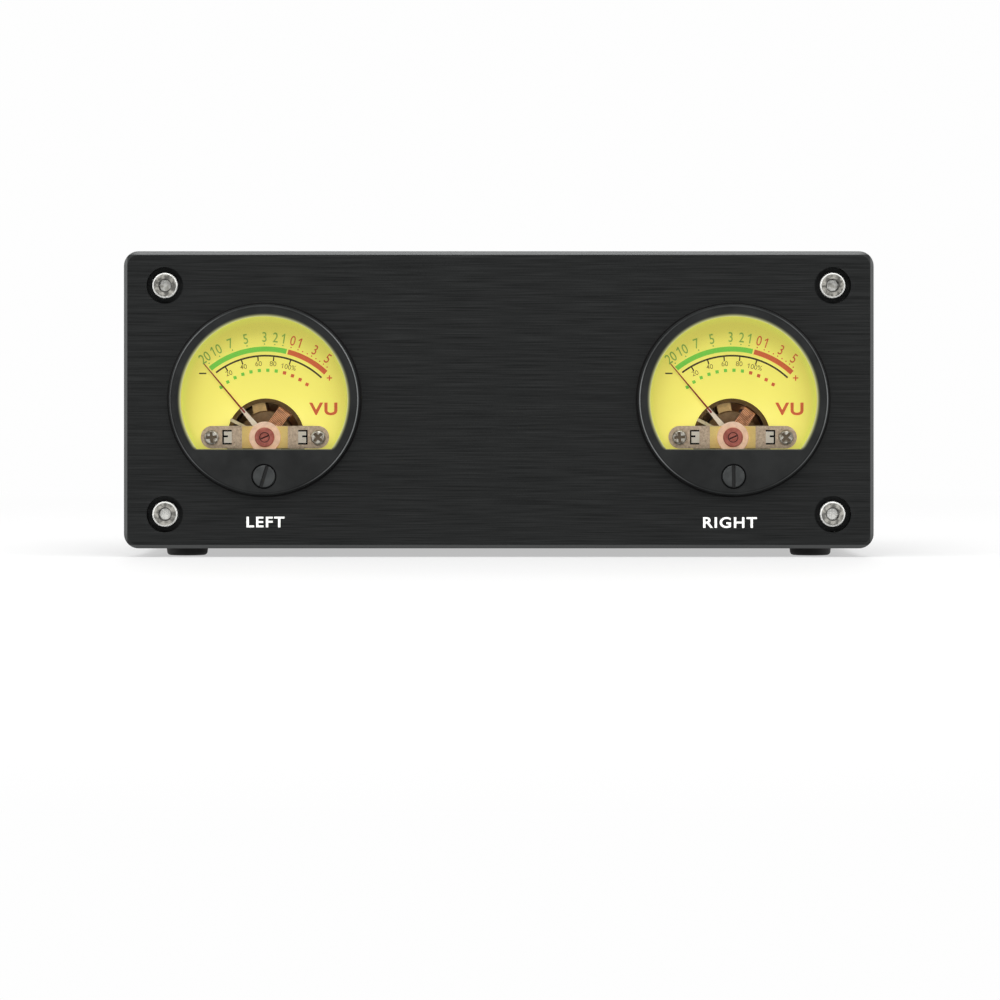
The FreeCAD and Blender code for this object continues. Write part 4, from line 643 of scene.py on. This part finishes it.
def printed(name, colour, glow):
    """Ink on the lit dial, glowing by a painted emission, or on the panel where nothing glows."""
    finish = Finish(name, colour, 0.5)
    grain = finish.noise(0.00018, 2.0)
    pale = tuple(min(1.0, value * 1.15 + 0.004) for value in colour[:3]) + (1.0,)
    ink = finish.colours(finish.span(grain, 0.3, 0.7), colour, pale)
    if glow:
        finish.set(finish.shader, "Emission Color", ink)
        finish.set(finish.shader, "Emission Strength", glow)
    finish.relief(grain, 0.000003, 0.4)
    return finish.material


PANEL_BLACK = srgb(30, 31, 31)
PANEL_STREAK = srgb(46, 47, 47)
# Colour of the painted highlight on the panel's chamfers
PANEL_CHAMFER_HIGHLIGHT = srgb(80, 81, 81)
NICKEL = srgb(225, 221, 214)
AMBER_GLOW = srgb(240, 196, 112)
PINK = srgb(250, 226, 204)
LEAD = moulded("lead_black", srgb(20, 20, 21), 0.26, 0.0015, 0.00002)

FINISHES = {
    "front_panel": brushed("panel_black", PANEL_BLACK, PANEL_STREAK, 0, 0.4, PANEL_CHAMFER_HIGHLIGHT),
    "case_sleeve": brushed("case_black", PANEL_BLACK, srgb(48, 50, 50), 1, 0.46),
    "rear_panel": brushed("rear_black", PANEL_BLACK, PANEL_STREAK, 0, 0.42),
    "front_panel_screws": socket_screw_finish(),
    "rear_panel_screws": plated("black_oxide", srgb(50, 50, 52), 0.32),
    "rubber_feet": moulded("foot_rubber", srgb(22, 22, 22), 0.62, 0.0004, 0.00004, Specular_IOR_Level=0.3),
    "retaining_rings": plated("ring_zinc", srgb(150, 148, 142), 0.4),
    "circuit_board": moulded("board_green", srgb(20, 74, 44), 0.35),
    "board_components": moulded("component_bodies", srgb(46, 46, 50), 0.4),
    "meter_wires": moulded("wire_red", srgb(170, 30, 26), 0.35),
    "input_jack_shells": plated("jack_gold", srgb(222, 186, 112), 0.18),
    "left_input_jack": moulded("insert_white", srgb(226, 226, 220), 0.4),
    "right_input_jack": moulded("insert_red", srgb(186, 28, 24), 0.4),
    "power_jack": moulded("jack_black", srgb(26, 26, 27), 0.45),
    "power_jack_pin": plated("pin_nickel", NICKEL, 0.2),
    "bridge_screws": cross_screw_finish(),
    "meter_terminals": plated("tinned_tag", srgb(206, 204, 198), 0.35),
    "meter_lamps": emitting("lamp_amber", srgb(255, 214, 110), 1.2),
    # Painted glow: the clear hub ring shines a little by emission
    "hub_rings": see_through("hub_ring_clear", srgb(250, 224, 202), 0.34, 0.2, 0.3),
    # Painted glow: the amber strip shines a little by emission, though it is no lamp
    "bridge_insulators": moulded(
        "amber_strip", srgb(240, 202, 122), 0.32, Emission_Color=AMBER_GLOW, Emission_Strength=0.1
    ),
    "bezel": bezel_finish(),
    "lens": lens_finish(),
    "housing": housing_finish(),
    "scale_plate": dial_finish(),
    "bridge": hammered_finish(),
    "jewel_screw": jewel_finish(),
    "zero_screw": adjuster_finish(),
    "zero_arm": plated("arm_cream", srgb(244, 228, 184), 0.35, metallic=0.3),
    "hairspring": plated("spring_bronze", srgb(210, 160, 96), 0.3),
    "coil": wound_finish(),
    "coil_frame": plated("former_aluminium", srgb(214, 214, 212), 0.35),
    # Painted glow: the pink arm shines a little by emission, though it is no lamp
    "pointer_arm": moulded("arm_pink", PINK, 0.4, Emission_Color=PINK, Emission_Strength=0.15),
    "needle": moulded("needle_red", srgb(158, 48, 34), 0.4),
    # Painted light: the core's brown stands for the lamps' amber light on its steel
    "magnet_core": plated("core_steel", srgb(146, 118, 86), 0.36, metallic=0.4),
    "yoke_ring": plated("yoke_iron", srgb(116, 90, 58), 0.45, metallic=0.3),
    "rear_frame": plated("frame_brass", srgb(224, 188, 128), 0.35, metallic=0.4),
    "lead_cord": LEAD,
    "lead_hank": LEAD,
    "lead_tie": moulded("tie_black", srgb(26, 26, 26), 0.42, 0.0005, 0.00003),
    "dc_plug_grip": moulded("grip_black", srgb(24, 24, 25), 0.38),
    "dc_plug_barrel": plated("barrel_nickel", NICKEL, 0.2),
    "usb_plug_grip": moulded("usb_grip_black", srgb(24, 24, 25), 0.38),
    "usb_plug_shell": plated("usb_nickel", srgb(205, 204, 200), 0.3, metallic=0.6),
}


def finish_nodes():
    """Gives every shown CAD node its finish, by its name without the side."""
    for name, obj in nodes.items():
        key = name if name in FINISHES else name.split("_", 1)[1]
        obj.data.materials.clear()
        obj.data.materials.append(FINISHES[key])
        for polygon in obj.data.polygons:
            polygon.material_index = 0


finish_nodes()
cord.data.materials.append(LEAD)


def add_piece(name, shape, material):
    """A piece that rides on the case, from a mesh in the making."""
    bmesh.ops.recalc_face_normals(shape, faces=shape.faces)
    mesh = bpy.data.meshes.new(name)
    shape.to_mesh(mesh)
    shape.free()
    mesh.materials.append(material)
    piece = bpy.data.objects.new(name, mesh)
    bpy.context.scene.collection.objects.link(piece)
    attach(piece, "root")


# Dial print, about the hub: radii in millimetres, angles in degrees clockwise from straight up
PRINT_T = 0.02 * MM
PRINT_GAP = 0.004 * MM
BAND = (18.8, 19.9)
GREEN_BAND = (-39.0, 13.6)
RED_BAND = (14.6, 43.0)
ARC = (17.7, 18.08)
ARC_SPAN = (-37.6, 43.2)
TICK_L = 0.95
TICK_W = 0.28
LEVELS_R = 22.0
LOW_LEVELS = (("20", -37.5), ("10", -29.7), ("7", -20.9), ("5", -11.6))
HIGH_LEVELS = (("3", -0.7), ("2", 5.6), ("1", 10.6))
GREEN_LEVELS = LOW_LEVELS + HIGH_LEVELS
RED_LEVELS = (("0", 15.8), ("1", 20.3), ("3", 29.5), ("5", 38.3))
LEVEL_H = 2.25
PERCENTS_R = 16.2
PERCENTS = (("20", -29.9), ("40", -17.5), ("60", -5.6), ("80", 5.7), ("100%", 18.0))
PERCENT_H = 1.12
SQUARES_R = 14.7
SQUARES = (-41.8, 38.1, 12)
GREEN_SQUARES = 8
SQUARE_W = 0.72
DOTS_R = 20.45
DOT_W = 0.26
RED_DOTS = (15.8, 20.3, 23.4, 26.5, 29.5, 32.6, 35.5, 38.3, 41.2)

# Signs and words on the dial: places right of and above the hub, and sizes, in millimetres
MINUS_AT = (-13.85, 14.0)
MINUS_L = 1.6
MINUS_W = 0.3
PLUS_AT = (14.0, 13.0)
PLUS_L = 1.2
PLUS_W = 0.26
WORD = "VU"
WORD_AT = (12.8, 6.2)
WORD_H = 2.7

# The font's own units: height of its capitals, and half the depth that the letters are made with
CAP_HEIGHT = 0.73
LETTER_DEPTH = 0.5


class Print:
    """Flat ink shapes gathered into one mesh, drawn about a point on a face that looks along -Y."""

    def __init__(self, x, y, z):
        self.mesh = bmesh.new()
        self.origin = Vector((x, y, z))

    def point(self, right, up):
        """A point in millimetres, as a vertex on the ink's face and one on its back."""
        place = self.origin + Vector((right * MM, 0, up * MM))
        depths = (PRINT_GAP + PRINT_T, PRINT_GAP)
        return [self.mesh.verts.new(place - Vector((0, depth, 0))) for depth in depths]

    def outline(self, points):
        """A filled convex shape from (right, up) points in millimetres, with its small thickness."""
        front, back = zip(*(self.point(right, up) for right, up in points))
        close_plate(self.mesh, front, back)

    def band(self, r_in, r_out, start, end, steps=48):
        """A ring sector, as a row of short blocks that share their ends."""
        rows = []
        for i in range(steps + 1):
            angle = start + (end - start) * i / steps
            rows.append(self.point(*polar(r_in, angle)) + self.point(*polar(r_out, angle)))
        for a, b in zip(rows, rows[1:]):
            for i, j in ((0, 2), (2, 3), (3, 1), (1, 0)):
                self.mesh.faces.new((a[i], a[j], b[j], b[i]))
        self.mesh.faces.new([rows[0][i] for i in (0, 1, 3, 2)])
        self.mesh.faces.new([rows[-1][i] for i in (0, 2, 3, 1)])

    def bar(self, right, up, width, height, tilt=0.0):
        """A small rectangle centred on a point, tilted clockwise."""
        turn = math.radians(tilt)
        corners = []
        for a, b in ((-1, -1), (1, -1), (1, 1), (-1, 1)):
            u, v = a * width / 2, b * height / 2
            u, v = u * math.cos(turn) + v * math.sin(turn), v * math.cos(turn) - u * math.sin(turn)
            corners.append((right + u, up + v))
        self.outline(corners)

    def block(self, r, angle, width, height, tilt=None):
        """A bar at a radius and angle, turned with the angle unless a tilt is given."""
        self.bar(*polar(r, angle), width, height, angle if tilt is None else tilt)

    def text(self, words, right, up, height, tilt=0.0, wide=1.0, weight=0.0, spacing=1.0):
        """Words centred on a point, with capitals of a height in millimetres, as thin solid letters."""
        curve = bpy.data.curves.new("words", "FONT")
        curve.body = words
        curve.align_x = "CENTER"
        curve.align_y = "CENTER"
        curve.resolution_u = 6
        curve.space_character = spacing
        curve.offset = weight
        curve.extrude = LETTER_DEPTH
        text = bpy.data.objects.new("words", curve)
        bpy.context.scene.collection.objects.link(text)
        mesh = as_mesh(text)
        if words.startswith("1"):
            add_flag(mesh)
        size = height * MM / CAP_HEIGHT
        high = [v.co.y for v in mesh.vertices]
        middle = (min(high) + max(high)) / 2
        place = self.origin + Vector((right * MM, -PRINT_GAP - PRINT_T / 2, up * MM))
        turn = Matrix.Rotation(math.radians(tilt), 4, "Y") @ Matrix.Rotation(math.pi / 2, 4, "X")
        shape = Matrix.Diagonal((size * wide, size, PRINT_T, 1)) @ Matrix.Translation((0, -middle, 0))
        mesh.transform(Matrix.Translation(place) @ turn @ shape)
        self.mesh.from_mesh(mesh)
        bpy.data.objects.remove(text)
        bpy.data.meshes.remove(mesh)


def close_plate(mesh, front, back):
    """Faces of a thin plate, from the vertices round its front and those behind them."""
    mesh.faces.new(front)
    mesh.faces.new(back[::-1])
    for i in range(len(front)):
        j = (i + 1) % len(front)
        mesh.faces.new((front[j], front[i], back[i], back[j]))


# The flag's corners in the font's units, right of the stem's left side and up from the figure's top
FLAG = ((0.03, 0.0), (-0.19, -0.17), (-0.14, -0.24), (0.03, -0.12))


def add_flag(mesh):
    """A short upstroke at the head of a figure 1, the first in its word."""
    top = max(v.co.y for v in mesh.vertices)
    stem = min(v.co.x for v in mesh.vertices if v.co.y < top / 2)
    shape = bmesh.new()
    shape.from_mesh(mesh)
    back, front = (
        [shape.verts.new((stem + right, top + up, depth)) for right, up in FLAG]
        for depth in (-LETTER_DEPTH, LETTER_DEPTH)
    )
    close_plate(shape, front, back)
    shape.to_mesh(mesh)
    shape.free()


def polar(r, angle):
    """The point (right, up) at a radius, and at an angle clockwise from straight up."""
    return r * math.sin(math.radians(angle)), r * math.cos(math.radians(angle))


def square_angles():
    """Angles of the row of small squares, evenly spaced."""
    first, last, count = SQUARES
    return [first + (last - first) * i / (count - 1) for i in range(count)]


def print_dial(side, x, inks):
    """All print on one dial, one piece for each ink."""
    dark, olive, green, moss, red = (Print(x, DIAL_FACE, HUB_Z) for _ in range(5))
    green.band(*BAND, *GREEN_BAND)
    red.band(*BAND, *RED_BAND)
    dark.band(*ARC, *ARC_SPAN)
    for word, angle in PERCENTS:
        dark.block(ARC[0] - TICK_L / 2, angle, TICK_W, TICK_L)
        right, up = polar(PERCENTS_R, angle)
        olive.text(word, right, up, PERCENT_H, angle * 0.6, 1.0, 0.004)
    for sheet, levels in ((moss, GREEN_LEVELS), (red, RED_LEVELS)):
        for word, angle in levels:
            right, up = polar(LEVELS_R, angle)
            sheet.text(word, right, up, LEVEL_H, angle * 0.9, 0.8, 0.004)
    for _, angle in GREEN_LEVELS:
        moss.block(DOTS_R, angle, DOT_W, DOT_W)
    for angle in RED_DOTS:
        red.block(DOTS_R, angle, DOT_W, DOT_W)
    for i, angle in enumerate(square_angles()):
        sheet = green if i < GREEN_SQUARES else red
        sheet.block(SQUARES_R, angle, SQUARE_W, SQUARE_W, angle * 0.6)
    dark.bar(*MINUS_AT, MINUS_L, MINUS_W)
    red.bar(*PLUS_AT, PLUS_L, PLUS_W)
    red.bar(*PLUS_AT, PLUS_W, PLUS_L)
    red.text(WORD, *WORD_AT, WORD_H, 0.0, 1.2, 0.03, 1.15)
    sheets = {"dark": dark, "olive": olive, "green": green, "moss": moss, "red": red}
    for colour, sheet in sheets.items():
        add_piece(f"{side}_dial_print_{colour}", sheet.mesh, inks[colour])


# Painted backlight: the dial's ink glows by emission as the dial does
INK_GLOW = 0.42
INKS = {
    "dark": printed("ink_dark", srgb(44, 39, 14), INK_GLOW),
    "olive": printed("ink_olive", srgb(128, 122, 46), INK_GLOW),
    "green": printed("ink_green", srgb(112, 196, 64), INK_GLOW),
    "moss": printed("ink_moss", srgb(126, 164, 68), INK_GLOW),
    "red": printed("ink_red", srgb(200, 92, 48), INK_GLOW),
}
print_dial("left", -METER_X, INKS)
print_dial("right", METER_X, INKS)

# A thin black ring on the panel round each bezel's edge, as a painted shadow under the bezel's rim
SHADOW_RING_W = 0.45 * MM
SHADOW_RING_T = 0.12 * MM
SHADOW_RING_LAP = 0.02 * MM
SHADOW_RING_STEPS = 128
SHADOW_RING_SECTION = ((-SHADOW_RING_LAP, 0.0), (SHADOW_RING_W, 0.0), (0.7 * SHADOW_RING_W, -SHADOW_RING_T), (-SHADOW_RING_LAP, -SHADOW_RING_T))


def paint_bezel_shadow(side, x, material):
    """A flat black ring on the panel round one bezel, with a sloping outer edge: a painted shadow."""
    ring = bmesh.new()
    rows = []
    for i in range(SHADOW_RING_STEPS):
        angle = 2 * math.pi * i / SHADOW_RING_STEPS
        row = []
        for out, y in SHADOW_RING_SECTION:
            right, up = (BEZEL_R + out) * math.cos(angle), (BEZEL_R + out) * math.sin(angle)
            row.append(ring.verts.new((x + right, PANEL_FACE + y, METER_Z + up)))
        rows.append(row)
    count = len(SHADOW_RING_SECTION)
    for a, b in zip(rows, rows[1:] + rows[:1]):
        for k in range(count):
            ring.faces.new((a[k], a[(k + 1) % count], b[(k + 1) % count], b[k]))
    add_piece(f"{side}_bezel_painted_shadow", ring, material)


# Dark sheets behind the bridge's slots as painted shade, so that no light comes through round the tongues
SLOT_SHADE_W = 2.9 * MM
SLOT_SHADE_H = 4.2 * MM
SLOT_SHADE_T = 0.15 * MM
SLOT_SHADE_EDGE = 0.04 * MM
SLOT_SHADE_X = 8.3 * MM


def shade_bridge_slots(side, x, material):
    """Two thin dark sheets on the back of one bridge: painted shade behind its slots."""
    slot_shades = bmesh.new()
    for place in (x - SLOT_SHADE_X, x + SLOT_SHADE_X):
        centre = (place, BRIDGE_FACE + BRIDGE_T + SLOT_SHADE_T / 2, HUB_Z)
        slot_shade = bmesh.ops.create_cube(slot_shades, size=1.0)["verts"]
        matrix = Matrix.Translation(centre) @ Matrix.Diagonal((SLOT_SHADE_W, SLOT_SHADE_T, SLOT_SHADE_H, 1))
        bmesh.ops.transform(slot_shades, verts=slot_shade, matrix=matrix)
    bmesh.ops.bevel(slot_shades, geom=slot_shades.edges[:], offset=SLOT_SHADE_EDGE, segments=1)
    add_piece(f"{side}_bridge_slot_shade", slot_shades, material)


def add_painted_shade():
    """Both meters' painted shadow rings and the painted shade behind their bridges' slots, of one black
    material.
    """
    material = moulded("painted_shade_black", srgb(8, 8, 8), 0.7, 0.0004, 0.00002, Specular_IOR_Level=0.1)
    for side, x in (("left", -METER_X), ("right", METER_X)):
        paint_bezel_shadow(side, x, material)
        shade_bridge_slots(side, x, material)


add_painted_shade()

# Panel labels under the meters, at their middles in the photograph
LABEL_PX = {"LEFT": (265.0, 522.0), "RIGHT": (729.5, 522.5)}
LABEL_H = 2.35


def label_panel():
    """The two words, each a piece of its own."""
    white = printed("label_white", srgb(236, 236, 232), 0.0)
    for word, (px, py) in LABEL_PX.items():
        x = (px - PANEL_PX[0]) / PX_PER_M
        z = PANEL_Z - (py - PANEL_PX[1]) / PX_PER_M
        sheet = Print(x, PANEL_FACE, z)
        sheet.text(word, 0, 0, LABEL_H, 0.0, 1.15, 0.02, 1.15)
        add_piece(f"{word.lower()}_label", sheet.mesh, white)


label_panel()

# Floor, background and light, in metres and watts
FLOOR_R = 6.0
FLOOR_TONE = (0.52, 0.52, 0.52, 1)
SHADOW_REACH = (0.16, 0.6)
WHITE = 0.99
WORLD_LIGHT = 0.6
AIM = (0, 0, 0.03)


def seen_by_eye(tree):
    """1 for rays that show the background: from the camera, in gloss and through glass."""
    path = tree.nodes.new("ShaderNodeLightPath")
    total = None
    for label in ("Is Camera Ray", "Is Glossy Ray", "Is Transmission Ray"):
        if total is None:
            total = path.outputs[label]
            continue
        most = tree.nodes.new("ShaderNodeMath")
        most.operation = "MAXIMUM"
        tree.links.new(total, most.inputs[0])
        tree.links.new(path.outputs[label], most.inputs[1])
        total = most.outputs[0]
    return total


def make_world():
    """White where the background is seen, and a softer light from all sides."""
    world = bpy.data.worlds.new("studio")
    bpy.context.scene.world = world
    world.use_nodes = True
    tree = world.node_tree
    light = tree.nodes["Background"]
    light.inputs["Color"].default_value = (1, 1, 1, 1)
    light.inputs["Strength"].default_value = WORLD_LIGHT
    seen = tree.nodes.new("ShaderNodeBackground")
    seen.inputs["Color"].default_value = (1, 1, 1, 1)
    seen.inputs["Strength"].default_value = WHITE
    mix = tree.nodes.new("ShaderNodeMixShader")
    tree.links.new(seen_by_eye(tree), mix.inputs[0])
    tree.links.new(light.outputs[0], mix.inputs[1])
    tree.links.new(seen.outputs[0], mix.inputs[2])
    tree.links.new(mix.outputs[0], tree.nodes["World Output"].inputs["Surface"])


def make_floor():
    """A pale disc that keeps the shadow near the object and goes over to the background's white."""
    mesh = bpy.data.meshes.new("floor")
    shape = bmesh.new()
    bmesh.ops.create_circle(shape, cap_ends=True, segments=96, radius=FLOOR_R)
    shape.to_mesh(mesh)
    shape.free()
    floor = bpy.data.objects.new("floor", mesh)
    bpy.context.scene.collection.objects.link(floor)
    finish = Finish("floor_pale", FLOOR_TONE, 0.6, Specular_IOR_Level=0.1)
    finish.relief(finish.noise(0.002), 0.00002, 0.1)
    away = finish.length(finish.axis(0), finish.axis(1))
    white = finish.span(away, *SHADOW_REACH, 0.5, 1.0)
    plain = finish.node("ShaderNodeEmission", Color=(1, 1, 1, 1), Strength=WHITE)
    finish.blend(finish.math("MULTIPLY", seen_by_eye(finish.tree), white), finish.shader, plain)
    mesh.materials.append(finish.material)


def aimed(name, data, place):
    """An object at a place, turned so that its back axis points at the unit."""
    obj = bpy.data.objects.new(name, data)
    obj.location = place
    obj.rotation_euler = (Vector(AIM) - Vector(place)).to_track_quat("-Z", "Y").to_euler()
    obj.visible_camera = False
    return obj


def softbox(name, place, width, height, power):
    """A large rectangular light."""
    data = bpy.data.lights.new(name, "AREA")
    data.shape = "RECTANGLE"
    data.size = width
    data.size_y = height
    data.energy = power
    light = aimed(name, data, place)
    bpy.context.scene.collection.objects.link(light)


def dark_card(name, place, width, height):
    """A dark card that only shows in reflections, as a studio uses for black and bright parts."""
    mesh = bpy.data.meshes.new(name)
    signs = ((-1, -1), (1, -1), (1, 1), (-1, 1))
    mesh.from_pydata([(a * width / 2, b * height / 2, 0) for a, b in signs], [], [(0, 1, 2, 3)])
    card = aimed(name, mesh, place)
    bpy.context.scene.collection.objects.link(card)
    mesh.materials.append(Finish("card_dark", (0.05, 0.05, 0.05, 1), 0.9).material)
    card.visible_diffuse = False
    card.visible_shadow = False
    card.visible_transmission = False


make_world()
make_floor()
softbox("front_box", (0, -1.1, 0.8), 1.0, 0.5, 8)
softbox("top_box", (0, -0.35, 1.1), 1.0, 0.6, 11)
softbox("left_box", (-1.1, -0.5, 0.45), 0.7, 0.9, 8)
softbox("right_box", (1.1, -0.5, 0.45), 0.7, 0.9, 6)
softbox("back_box", (0, 1.1, 0.7), 1.0, 0.6, 6)
dark_card("front_card", (0, -1.25, 0.12), 1.1, 0.9)
